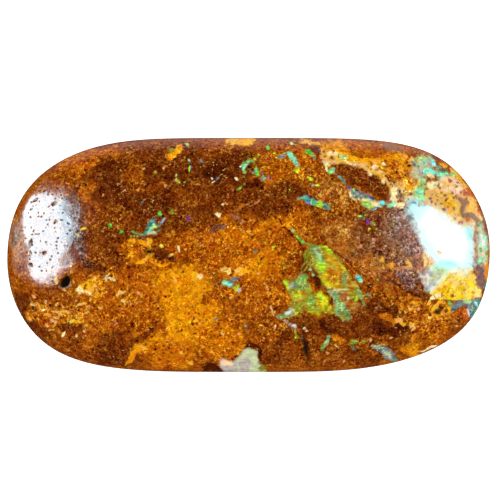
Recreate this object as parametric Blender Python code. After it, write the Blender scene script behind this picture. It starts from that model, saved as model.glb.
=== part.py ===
"""A boulder opal cabochon: one polished stone with a domed face, a steep rounded rim and a flat ground back.

Metres, +Z up. The origin is the middle of the back, +X runs along the stone and +Z points out of its face.
"""
import math

import bmesh
import bpy
import numpy as np

MM = 0.001

# Driving dimensions of the stone
LENGTH = 33.8 * MM
WIDTH = 16.4 * MM
THICKNESS = 5.6 * MM
BACK_EDGE_INSET = 1.0 * MM  # how far the flat back stays inside the outline
GIRDLE_BOTTOM = 1.1 * MM  # height where the rounded back edge reaches the widest line
GIRDLE_TOP = 1.9 * MM  # height where the dome starts to turn inwards

# The outline is |x/a|^p + |y/b|^q = 1, so its long sides are nearly straight and its ends are round.
# The powers change softly round it: the +Y side, and the corners at +X +Y and -X -Y, are a little squarer.
LONG_POWER = 4.27
LONG_POWER_SIDE = 0.43
LONG_POWER_CORNER = 1.24
CROSS_POWER = 2.13
CROSS_POWER_SIDE = -0.20
CROSS_POWER_CORNER = -0.53
LEAN = 0.027  # the ends lean this share of y along +X

# The dome's profile is a superellipse of the same kind, from the girdle to the top
DOME_INWARD_POWER = 3.0
DOME_UPWARD_POWER = 2.1

# Broad hollows and swells left by polishing on a wheel by hand
POLISH_SWELL = 0.035 * MM
POLISH_WAVELENGTH = 11.0 * MM

# One open pit in the polished face, left of the middle
PIT_CENTRE = (-12.75 * MM, -1.90 * MM)
PIT_LENGTH = 0.95 * MM
PIT_WIDTH = 0.50 * MM
PIT_DEPTH = 0.42 * MM
PIT_TURN = math.radians(58)

SEGMENTS_AROUND = 132
DOME_RINGS = 20
BACK_EDGE_RINGS = 4
PIT_DETAIL = 3

STONE_COLOUR = (0.42, 0.16, 0.02, 1.0)
STONE_ROUGHNESS = 0.14


def signed_power(value, power):
    """value raised to a power with its sign kept."""
    return np.sign(value) * np.abs(value) ** power


def outline_curve(samples=4000):
    """The outline as many points, for x and y at each step of one turn, before it is cut into equal steps."""
    step = np.linspace(0.0, 4.0, samples, endpoint=False)
    quarter, along = np.floor(step), step % 1.0
    # the steps are finest near the long sides' middles, where the curve's parameter moves fastest
    eased = np.where(quarter % 2 == 0, 1 - (1 - along) ** 2.5, along**2.5)
    turn = (quarter + eased) * math.pi / 2
    cosine, sine = np.cos(turn), np.sin(turn)
    corner = cosine * sine
    long_power = LONG_POWER + LONG_POWER_SIDE * sine + LONG_POWER_CORNER * corner
    cross_power = CROSS_POWER + CROSS_POWER_SIDE * sine + CROSS_POWER_CORNER * corner
    x = LENGTH / 2 * signed_power(cosine, 2 / long_power)
    y = WIDTH / 2 * signed_power(sine, 2 / cross_power)
    x = x + LEAN * y
    x *= LENGTH / (x.max() - x.min())
    x -= (x.max() + x.min()) / 2
    return x, y


def outline_points():
    """The outline as SEGMENTS_AROUND points at equal steps along its length, counterclockwise."""
    x, y = outline_curve()
    closed_x, closed_y = np.append(x, x[0]), np.append(y, y[0])
    walked = np.concatenate([[0.0], np.cumsum(np.hypot(np.diff(closed_x), np.diff(closed_y)))])
    stops = np.arange(SEGMENTS_AROUND) * walked[-1] / SEGMENTS_AROUND
    return np.stack([np.interp(stops, walked, closed_x), np.interp(stops, walked, closed_y)], axis=1)


def outward_directions(outline):
    """The unit normal of the outline at each of its points."""
    along = np.roll(outline, -1, axis=0) - np.roll(outline, 1, axis=0)
    outward = np.stack([along[:, 1], -along[:, 0]], axis=1)
    return outward / np.linalg.norm(outward, axis=1, keepdims=True)


def polish_swell(points):
    """The height that hand polishing adds or takes at each point of the face: three crossing waves."""
    wave = 2 * math.pi / POLISH_WAVELENGTH
    x, y = points[:, 0] * wave, points[:, 1] * wave
    return POLISH_SWELL * (np.sin(x + 0.6) + np.sin(0.55 * x + 1.3 * y + 2.0) + np.sin(1.7 * y - 0.4 * x)) / 2


def stone_rings():
    """Rings of points from the flat back up to the top of the dome, each as an array of x, y, z."""
    outline = outline_points()
    outward = outward_directions(outline)
    rings = []
    for step in range(BACK_EDGE_RINGS + 1):
        turn = step / BACK_EDGE_RINGS * math.pi / 2
        inset = BACK_EDGE_INSET * (1 - math.sin(turn))
        height = GIRDLE_BOTTOM * (1 - math.cos(turn))
        flat = outline - outward * inset
        rings.append(np.column_stack([flat, np.full(len(flat), height)]))
    crown = THICKNESS - GIRDLE_TOP
    for step in range(DOME_RINGS):
        turn = step / DOME_RINGS * math.pi / 2
        share = math.cos(turn) ** (2 / DOME_INWARD_POWER)
        rise = math.sin(turn) ** (2 / DOME_UPWARD_POWER)
        flat = outline * share
        height = GIRDLE_TOP + crown * rise + polish_swell(flat) * rise
        rings.append(np.column_stack([flat, height]))
    return rings


def build_stone(material):
    """The stone as one closed mesh: its rings skinned together, with a flat back and a top point."""
    shape = bmesh.new()
    rings = [[shape.verts.new(point) for point in ring] for ring in stone_rings()]
    for lower, upper in zip(rings, rings[1:]):
        for i in range(SEGMENTS_AROUND):
            following = (i + 1) % SEGMENTS_AROUND
            shape.faces.new((lower[i], lower[following], upper[following], upper[i]))
    shape.faces.new(list(reversed(rings[0])))
    top_height = THICKNESS + polish_swell(np.zeros((1, 2)))[0]
    top = shape.verts.new((0.0, 0.0, top_height))
    for i in range(SEGMENTS_AROUND):
        shape.faces.new((rings[-1][i], rings[-1][(i + 1) % SEGMENTS_AROUND], top))
    return object_from(shape, "boulder_opal", material)


def build_pit_cutter(stone):
    """The open pit's cutter: a long ball whose middle lies on the stone's polished face."""
    bpy.context.view_layer.update()
    _, surface, _, _ = stone.ray_cast((*PIT_CENTRE, 2 * THICKNESS), (0, 0, -1))
    shape = bmesh.new()
    bmesh.ops.create_icosphere(shape, subdivisions=PIT_DETAIL, radius=0.5)
    cutter = object_from(shape, "pit_cutter", None)
    for vertex in cutter.data.vertices:
        x, y, z = vertex.co
        pinch = 1 + 0.5 * x  # one end is blunter
        vertex.co = (x * PIT_LENGTH, y * PIT_WIDTH * pinch, z * 2 * PIT_DEPTH)
    cutter.rotation_euler.z = PIT_TURN
    cutter.location = surface
    cutter.hide_render = True
    cutter.display_type = "WIRE"
    return cutter


def object_from(shape, name, material):
    """A scene object made from a bmesh, which is freed."""
    bmesh.ops.recalc_face_normals(shape, faces=shape.faces)
    mesh = bpy.data.meshes.new(name)
    shape.to_mesh(mesh)
    shape.free()
    mesh.shade_smooth()
    if material is not None:
        mesh.materials.append(material)
    made = bpy.data.objects.new(name, mesh)
    bpy.context.scene.collection.objects.link(made)
    return made


def stone_material():
    """Polished ironstone brown."""
    material = bpy.data.materials.new("polished_boulder_opal")
    material.use_nodes = True
    shader = material.node_tree.nodes["Principled BSDF"]
    shader.inputs["Base Color"].default_value = STONE_COLOUR
    shader.inputs["Roughness"].default_value = STONE_ROUGHNESS
    shader.inputs["Metallic"].default_value = 0.0
    return material


def main():
    for old in list(bpy.data.objects):
        bpy.data.objects.remove(old)
    stone = build_stone(stone_material())
    cut = stone.modifiers.new("open_pit", "BOOLEAN")
    cut.operation = "DIFFERENCE"
    cut.solver = "EXACT"
    cut.object = build_pit_cutter(stone)


main()
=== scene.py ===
"""The looks of a boulder opal cabochon: a polished face of ironstone and opal over a ground back.

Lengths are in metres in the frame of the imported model, where +X runs along the stone, +Z points out of its
face and z = 0 is its flat back. Places of markings are in millimetres from the middle of the stone.
"""

import logging
import math
from dataclasses import dataclass, field
from enum import Enum
from typing import Iterable, Union

import bpy
import numpy as np
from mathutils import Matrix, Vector


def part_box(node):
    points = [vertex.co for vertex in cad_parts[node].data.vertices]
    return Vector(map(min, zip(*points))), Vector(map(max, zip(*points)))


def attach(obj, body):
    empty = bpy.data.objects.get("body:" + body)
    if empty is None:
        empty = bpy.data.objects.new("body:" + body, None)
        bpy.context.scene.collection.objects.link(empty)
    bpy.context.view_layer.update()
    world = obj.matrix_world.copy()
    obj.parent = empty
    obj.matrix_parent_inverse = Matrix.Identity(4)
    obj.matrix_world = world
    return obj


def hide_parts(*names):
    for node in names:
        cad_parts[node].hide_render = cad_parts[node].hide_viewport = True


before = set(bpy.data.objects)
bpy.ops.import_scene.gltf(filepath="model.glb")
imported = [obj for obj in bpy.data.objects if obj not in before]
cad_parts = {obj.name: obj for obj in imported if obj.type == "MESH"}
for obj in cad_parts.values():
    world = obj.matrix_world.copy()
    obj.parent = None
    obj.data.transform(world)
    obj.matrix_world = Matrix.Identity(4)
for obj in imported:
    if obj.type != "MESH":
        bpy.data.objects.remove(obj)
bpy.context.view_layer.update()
MM = 0.001
NOISE_KNOTS = 97  # the net of random numbers repeats after so many steps
NOISE_OFFSET = 600  # keeps every place on the stone at positive steps of the net
IRONSTONE_BLUE = 33  # the tones of ironstone have no more blue than this
FULL_DENT = 0.09  # a dent as deep as this in millimetres keeps no polish

log = logging.getLogger("boulder_opal")
Array = np.ndarray
Place = tuple[float, float]


def linear(level: float) -> float:
    """An sRGB level from 0 to 255 as linear light from 0 to 1."""
    share = level / 255
    return share / 12.92 if share <= 0.04045 else ((share + 0.055) / 1.055) ** 2.4


def eased(share: Array) -> Array:
    """The share held between 0 and 1 and eased by 3t^2 - 2t^3."""
    held = np.clip(share, 0.0, 1.0)
    return held * held * (3 - 2 * held)


def soft_noise(x: Array, y: Array, size: float, seed: int) -> Array:
    """Smooth random waves between -1 and 1.

    A square net of the given spacing has a random number at each knot. A place takes the numbers of the
    four knots round it, blended each way by 3t^2 - 2t^3.

    Args:
        x: places along the stone.
        y: places across the stone.
        size: the spacing of the net, in the same unit.
        seed: picks the random numbers.

    Returns:
        The height of the waves at each place.
    """
    knots = np.random.default_rng(seed).uniform(-1.0, 1.0, (NOISE_KNOTS, NOISE_KNOTS))
    u, v = x / size + NOISE_OFFSET, y / size + NOISE_OFFSET
    column, row = np.floor(u).astype(int), np.floor(v).astype(int)
    right, up = eased(u - column), eased(v - row)
    corner = [[knots[(column + i) % NOISE_KNOTS, (row + j) % NOISE_KNOTS] for j in (0, 1)] for i in (0, 1)]
    lower = corner[0][0] * (1 - right) + corner[1][0] * right
    upper = corner[0][1] * (1 - right) + corner[1][1] * right
    return lower * (1 - up) + upper * up


def placed(name: str, content: bpy.types.ID) -> bpy.types.Object:
    """A new object of the scene that shows the mesh, lamp or camera given."""
    made = bpy.data.objects.new(name, content)
    bpy.context.scene.collection.objects.link(made)
    return made


def disc_faces(rings: int, around: int) -> list[list[int]]:
    """The faces of a disc whose points go round it ring by ring: one in the middle, then four-sided ones."""
    faces = [list(range(around))]
    for ring in range(rings - 1):
        inner = ring * around + np.arange(around)
        outer = inner + around
        faces += np.stack([inner, outer, np.roll(outer, -1), np.roll(inner, -1)], axis=1).tolist()
    return faces


class Tone(Enum):
    """Colours of ironstone, clay, potch and opal as the eye sees them, as sRGB levels."""

    # painted shade: the dark inside of pits and open dents
    PIT_SHADE_BLACK = (34, 24, 18)
    UMBER = (82, 26, 2)
    BARK = (106, 43, 4)
    CHESTNUT = (126, 57, 6)
    RUSSET = (143, 68, 7)
    RUST = (160, 79, 5)
    OCHRE = (184, 94, 6)
    AMBER = (206, 113, 5)
    GOLD = (234, 146, 7)
    FLAME = (196, 92, 12)
    BRIGHT_GOLD = (248, 174, 36)
    LEMON = (255, 222, 90)
    SAND = (238, 186, 98)
    CREAM = (255, 236, 172)
    PEACH = (240, 172, 108)
    PALE_PEACH = (250, 212, 168)
    CLAY = (188, 118, 62)
    TAWNY = (180, 106, 32)
    TAUPE = (148, 104, 78)
    DUN = (146, 88, 42)
    PLUM_BROWN = (104, 58, 46)
    OLIVE = (150, 148, 34)
    SAGE = (134, 160, 92)
    KHAKI = (172, 150, 46)
    HONEY = (206, 152, 18)
    YELLOW = (228, 214, 26)
    LIME = (188, 235, 40)
    LEAF = (98, 208, 66)
    MOSS = (112, 166, 72)
    PALE_GREEN = (172, 216, 138)
    MINT = (132, 236, 184)
    CYAN = (110, 244, 240)
    ICE = (222, 252, 249)
    TURQUOISE = (60, 186, 172)
    AQUA = (176, 244, 240)
    TEAL = (72, 138, 126)
    SLATE = (104, 122, 132)
    NAVY = (44, 62, 104)
    BLUE = (84, 140, 196)
    VIOLET = (132, 42, 188)
    MAGENTA = (150, 44, 84)
    LILAC = (192, 172, 214)
    POTCH = (196, 204, 160)
    LILAC_POTCH = (184, 172, 164)
    PEARL = (232, 238, 232)

    @property
    def light(self) -> Array:
        """The colour as linear light."""
        return np.array([linear(level) for level in self.value])

    @property
    def pale(self) -> float:
        """1 for the clays and sands, which break up into lumps, and 0 for ironstone, which is grainy."""
        return float(self.value[2] > IRONSTONE_BLUE)


@dataclass(frozen=True)
class Fleck:
    """An oval marking: its full length and width, and its turn in degrees from the stone's length."""

    tone: Tone
    at: Place
    long: float
    wide: float
    turn: float = 0.0

    @property
    def ragged(self) -> float:
        """How far noise may move the edge, in millimetres."""
        return min(max(0.3 * self.wide, 0.04), 0.13)

    def reach(self) -> tuple[float, float, float, float]:
        """The lowest and highest x and y of the marking."""
        far = self.long / 2
        return self.at[0] - far, self.at[0] + far, self.at[1] - far, self.at[1] + far

    def spread(self, x: Array, y: Array) -> Array:
        """How far out each place is, from 0 at the middle to 1 at the edge: the length of the place's
        vector after the oval is scaled to a circle."""
        turn = math.radians(self.turn)
        right, up = x - self.at[0], y - self.at[1]
        along = right * math.cos(turn) + up * math.sin(turn)
        across = up * math.cos(turn) - right * math.sin(turn)
        return np.hypot(along / (self.long / 2), across / (self.wide / 2))

    def depth(self, x: Array, y: Array) -> Array:
        """How far inside its edge each place is, in millimetres: the share left to the edge times half
        the width."""
        return (1 - self.spread(x, y)) * self.wide / 2


@dataclass(frozen=True)
class Seam:
    """A marking along a path, which narrows to its two ends."""

    tone: Tone
    path: tuple[Place, ...]
    width: float

    @property
    def ragged(self) -> float:
        """How far noise may move the edge, in millimetres."""
        return min(max(0.35 * self.width, 0.04), 0.12)

    def reach(self) -> tuple[float, float, float, float]:
        """The lowest and highest x and y of the marking."""
        across, up = zip(*self.path)
        far = self.width / 2
        return min(across) - far, max(across) + far, min(up) - far, max(up) + far

    def depth(self, x: Array, y: Array) -> Array:
        """How far inside the seam each place is, in millimetres.

        Each stretch of the path gives its distance, and the half width there is the full half width
        times (1 - 0.75 t^4), where t runs from -1 at one end of the path to 1 at the other.

        Args:
            x: places along the stone.
            y: places across the stone.

        Returns:
            The half width less the distance, the largest of all stretches.
        """
        knots = np.array(self.path)
        lengths = np.hypot(*np.diff(knots, axis=0).T)
        walked = np.concatenate([[0.0], np.cumsum(lengths)]) / lengths.sum()
        best = np.full(x.shape, -np.inf)
        for start, end, before, after in zip(knots, knots[1:], walked, walked[1:]):
            step = end - start
            share = ((x - start[0]) * step[0] + (y - start[1]) * step[1]) / (step @ step)
            share = np.clip(share, 0.0, 1.0)
            apart = np.hypot(x - start[0] - share * step[0], y - start[1] - share * step[1])
            along = 2 * (before + share * (after - before)) - 1
            best = np.maximum(best, self.width / 2 * (1 - 0.75 * along**4) - apart)
        return best


@dataclass(frozen=True)
class Patch:
    """A marking with a closed outline through a few corners."""

    tone: Tone
    corners: tuple[Place, ...]
    ragged: float = 0.13

    def reach(self) -> tuple[float, float, float, float]:
        """The lowest and highest x and y of the marking."""
        across, up = zip(*self.corners)
        return min(across), max(across), min(up), max(up)

    def depth(self, x: Array, y: Array) -> Array:
        """How far inside the outline each place is, in millimetres.

        The distance to the nearest side counts as positive where a line drawn from the place crosses
        the outline an odd number of times.

        Args:
            x: places along the stone.
            y: places across the stone.

        Returns:
            The signed distance to the outline.
        """
        knots = np.array(self.corners)
        nearest = np.full(x.shape, np.inf)
        inside = np.zeros(x.shape, bool)
        for start, end in zip(knots, np.roll(knots, -1, axis=0)):
            step = end - start
            share = ((x - start[0]) * step[0] + (y - start[1]) * step[1]) / (step @ step)
            share = np.clip(share, 0.0, 1.0)
            apart = np.hypot(x - start[0] - share * step[0], y - start[1] - share * step[1])
            nearest = np.minimum(nearest, apart)
            if start[1] != end[1]:
                crossing = start[0] + (y - start[1]) * step[0] / step[1]
                inside ^= ((start[1] > y) != (end[1] > y)) & (x < crossing)
        return np.where(inside, nearest, -nearest)


Marking = Union[Fleck, Seam, Patch]


@dataclass
class Layer:
    """Markings laid over each other: at every place a colour, and how deep inside the nearest edge it is,
    counted in that marking's own raggedness."""

    x: Array
    y: Array
    blur: float = 0.9
    far: float = 0.6
    outside: float = -15.0
    colour: Array = field(init=False)
    depth: Array = field(init=False)
    pale: Array = field(init=False)

    def __post_init__(self) -> None:
        """Starts with no marking in reach of any place."""
        self.colour = np.zeros((len(self.x), 3))
        self.depth = np.full(len(self.x), self.outside)
        self.pale = np.zeros(len(self.x))

    def lay(self, markings: Iterable[Marking]) -> "Layer":
        """Lays markings in order, each over those before it.

        Inside a marking its own tone shows. Outside all markings the tone of the nearest one is kept,
        so that a ragged edge cut later by the finish still finds the right tone.

        Args:
            markings: the markings, lowest first.

        Returns:
            The layer itself.
        """
        for marking in markings:
            low_x, high_x, low_y, high_y = marking.reach()
            near = (self.x > low_x - self.far) & (self.x < high_x + self.far)
            near &= (self.y > low_y - self.far) & (self.y < high_y + self.far)
            near = np.flatnonzero(near)
            if not len(near):
                continue
            depth = marking.depth(self.x[near], self.y[near]) / marking.ragged
            before = self.depth[near]
            weight = eased(0.5 + np.maximum(depth, depth - before) / self.blur)
            self.pale[near] += (marking.tone.pale - self.pale[near]) * weight
            self.colour[near] += (marking.tone.light - self.colour[near]) * weight[:, None]
            self.depth[near] = np.maximum(before, depth)
        return self


def flecks(tone: Tone, size: float, *places: Place) -> list[Fleck]:
    """Round flecks of one tone and one size."""
    return [Fleck(tone, place, size, size) for place in places]


def oval(tone: Tone, x: float, y: float, long: float, wide: float, turn: float = 0.0) -> Fleck:
    """An oval of one tone."""
    return Fleck(tone, (x, y), long, wide, turn)


def ovals(tone: Tone, *sizes: tuple[float, ...]) -> list[Fleck]:
    """Ovals of one tone, each given as x, y, its length, its width and, where it has one, its turn."""
    return [oval(tone, *size) for size in sizes]


def seam(tone: Tone, width: float, *path: Place) -> Seam:
    """A seam of one tone through the places of its path."""
    return Seam(tone, path, width)


def seams(tone: Tone, *paths: tuple) -> list[Seam]:
    """Seams of one tone, each given as its width and then the places along it."""
    return [seam(tone, *path) for path in paths]


def patch(tone: Tone, *corners: Place, ragged: float = 0.13) -> Patch:
    """A patch of one tone inside the corners, with an edge that wanders by up to ragged."""
    return Patch(tone, corners, ragged)


# The broad tones of the ironstone, laid as soft ovals in this order
GROUND = (
    oval(Tone.CHESTNUT, -6.6, 4.9, 13, 6.6, -6),
    oval(Tone.RUSSET, -10.2, 1.2, 5.5, 5),
    *ovals(Tone.RUST, (-13, 5.6, 4.6, 2.6, 40), (-8, 5.8, 2, 1.6)),
    *ovals(Tone.OCHRE, (-11.8, 6.6, 3, 1.3, 24), (-11.2, 4.6, 1, 1.3)),
    oval(Tone.BARK, -9.9, 5.1, 2.2, 2.8, 20),
    oval(Tone.RUSSET, -8.6, 7, 2, 1.4),
    oval(Tone.OCHRE, -10.2, 7.1, 2.2, 0.9, 10),
    *ovals(Tone.BARK, (-6.4, 6.1, 2.2, 1, -20), (-7.2, 3.6, 4.4, 1.4, -8), (-5, 5.1, 1.6, 2.6, 10)),
    *ovals(Tone.RUSSET, (-6.8, 4.9, 2.6, 0.9), (-4.1, 3.9, 2, 1.2, -10)),
    oval(Tone.BARK, -1.6, 6.2, 4.6, 2.2, 4),
    oval(Tone.UMBER, -2.3, 6.1, 1.6, 0.9, 10),
    oval(Tone.CHESTNUT, 0, 4.6, 5.4, 1.6, 8),
    oval(Tone.UMBER, 0.3, 5.1, 1.4, 0.8),
    *ovals(Tone.CHESTNUT, (1.4, 3.7, 5.6, 1.8), (-9.6, 0.5, 3.2, 2.6)),
    oval(Tone.BARK, 3.1, 4.4, 2, 1, -10),
    oval(Tone.OCHRE, 3.4, 2.6, 1.3, 1.6),
    oval(Tone.RUSSET, -10.6, 0.2, 1.4, 2),
    *ovals(Tone.BARK, (-11.1, -0.9, 1.7, 1), (-12.2, 1.9, 1.9, 5.2, 4)),
    oval(Tone.CLAY, -16.1, 0.8, 1.3, 3.4, 4),
    oval(Tone.TAUPE, -16.3, 1.4, 0.7, 1.6, 4),
    oval(Tone.OCHRE, -12, -3.9, 9, 5.2, -12),
    oval(Tone.RUST, -13.6, -2.8, 4, 1.5, -8),
    oval(Tone.BARK, -15.6, -3.7, 2.8, 1.4, -62),
    oval(Tone.OCHRE, -14.6, -4.4, 1.5, 1.1, -40),
    oval(Tone.BARK, -14.6, -5.5, 3.2, 0.9, -42),
    oval(Tone.RUSSET, -12.2, -6.6, 4.6, 1.3, -18),
    *ovals(Tone.CHESTNUT, (-12.3, -5.6, 1.8, 1), (-9.2, -6.9, 3.4, 2.2)),
    oval(Tone.BARK, -9.4, -7.4, 1.8, 0.9),
    oval(Tone.CHESTNUT, -8.3, -5.7, 1.6, 1.2),
    oval(Tone.OCHRE, -7.4, -3.4, 5, 5.4),
    oval(Tone.RUST, -8.3, -4.9, 1.8, 1.2),
    *ovals(Tone.OCHRE, (-7.9, -1.7, 2.8, 1.5), (-9.6, -3.4, 2.2, 2), (-7.8, 0.2, 2.2, 1.7, -10)),
    *ovals(Tone.AMBER, (-7.3, -0.5, 1.9, 0.8, -14), (-5.8, -2.4, 2.6, 2.4)),
    *ovals(Tone.GOLD, (-3.9, -3.9, 4.4, 6.4, 12), (-6.6, -6.1, 2.8, 1.5, 34)),
    *ovals(Tone.AMBER, (-1.9, -5.9, 3.6, 2.4), (-5.6, -6.8, 4.4, 1.9)),
    *ovals(Tone.OCHRE, (-5.8, -4.7, 1.3, 2), (-0.8, 1.3, 7.4, 2.4)),
    *ovals(Tone.AMBER, (-1, 1.6, 2.6, 0.9, 6), (1.5, 2, 2.8, 1.4)),
    *ovals(Tone.OCHRE, (-2.6, 0, 5, 2.4), (-3.7, 1.2, 2.6, 1.6), (2.3, 0.9, 2.8, 1.4, -20)),
    oval(Tone.AMBER, 0.5, -0.6, 3.8, 1.9),
    oval(Tone.GOLD, 0.3, -0.5, 1.6, 0.7, 10),
    oval(Tone.RUST, -4.7, -0.7, 1.7, 1),
    *ovals(Tone.OCHRE, (0.3, -3.4, 5, 3.6), (-2.1, -3.2, 2, 1.1)),
    *ovals(Tone.RUST, (-0.6, -3.7, 2.4, 0.9), (1.3, -5, 3.4, 2.4)),
    oval(Tone.RUSSET, 1, -6.7, 3.4, 1.4),
    oval(Tone.BARK, 2.5, -6.1, 1.6, 1.1, -20),
    oval(Tone.CHESTNUT, 2.1, -7.3, 2.4, 1),
    oval(Tone.OCHRE, 2.4, -3.1, 1.7, 1.8),
    oval(Tone.RUST, 3, -0.6, 1.4, 1.6),
    oval(Tone.RUSSET, 4.4, -6.4, 3.8, 2.2),
    oval(Tone.CHESTNUT, 4.3, -4.9, 3.2, 1.5),
    oval(Tone.UMBER, 6.1, -5, 2.6, 1.2, -32),
    oval(Tone.CHESTNUT, 8.2, -4.6, 4.4, 3),
    oval(Tone.RUSSET, 6.4, -7.1, 4.8, 1.5, 4),
    oval(Tone.CHESTNUT, 8.4, -7, 2.8, 1.3, 8),
    oval(Tone.BARK, 9.8, -3.6, 3.2, 1.5),
    oval(Tone.UMBER, 9.9, -5.3, 2.8, 1.2, -6),
    oval(Tone.RUSSET, 10.9, -6.2, 3.2, 1.5, 14),
    oval(Tone.RUST, 9.4, -1.9, 4.2, 1.2, -20),
    oval(Tone.OCHRE, 11.5, -3.5, 3, 1.1, -20),
    oval(Tone.TAWNY, 8.7, -0.6, 2.8, 0.9, -22),
    oval(Tone.DUN, 8.1, 1.5, 4.4, 3.4),
    oval(Tone.TAWNY, 6.5, 1.5, 3, 2.4, -30),
    oval(Tone.DUN, 10, 1.2, 3.2, 4.4),
    *ovals(Tone.CHESTNUT, (9, 2.3, 1.8, 1.3), (11.6, -2.3, 2.6, 1.1, -34)),
    oval(Tone.RUSSET, 6.8, 3, 2.4, 1.4),
    oval(Tone.OCHRE, 12.7, -4.5, 3, 1.6),
    oval(Tone.GOLD, 13.2, -3.8, 1.6, 1.1),
    oval(Tone.OCHRE, 13, -5.3, 2.8, 1.2, 26),
    *ovals(Tone.RUSSET, (14.4, -5, 2, 1.1, 40), (4.9, 2.7, 2.6, 1.1, -20)),
    oval(Tone.GOLD, 11.4, -6.5, 1.6, 0.9, 16),
    oval(Tone.OCHRE, 2.5, 6.3, 3, 2.2),
    oval(Tone.RUST, 4.8, 5.8, 2.4, 2.4),
    oval(Tone.TAWNY, 5.8, 4.6, 2.6, 1.3, -24),
    *ovals(Tone.OCHRE, (3.8, 7, 2.2, 1.2), (8.6, 7.4, 5.2, 1.2, -6)),
    oval(Tone.GOLD, 5.9, 7.2, 2.4, 1.5, -14),
    oval(Tone.BRIGHT_GOLD, 7.9, 6.6, 3.6, 0.8, -12),
    oval(Tone.AMBER, 10.7, 6, 2.6, 2.6),
    oval(Tone.GOLD, 10.3, 6.9, 2.6, 0.9, -10),
    oval(Tone.BRIGHT_GOLD, 11, 4.8, 1.6, 0.9),
    oval(Tone.SAND, 10.6, 4.1, 1.5, 1.2),
    oval(Tone.TAUPE, 16.2, 0.6, 1, 5.6),
)

# Sandy ironstone that takes a poorer polish, beside the highlights; its paler taupe tone and grey grains are
# partly painted sheen
SANDY_AND_SHEEN = (
    *ovals(Tone.TAUPE, (11.2, 1.4, 2.3, 4.6, 12), (11.4, -1.6, 1.7, 1.5, -30), (-11.8, 1.4, 1, 4.8, 4)),
)

# Ironstone with clumps of gold clay in it
CRUNCHY = (
    *ovals(Tone.GOLD, (-13, -4.2, 5.4, 2.6, -14), (-10.8, -2.3, 2.8, 1.4, 12)),
    oval(Tone.GOLD, 10.5, 5.9, 2.6, 2.6),
    *ovals(Tone.GOLD, (7.6, 6.9, 5, 1.3, -8), (12, -4, 4.4, 1.8, -16), (10.4, -0.9, 3, 1, -16),
        (5.8, 4.6, 2.4, 1.2, -24)),
)

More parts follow.
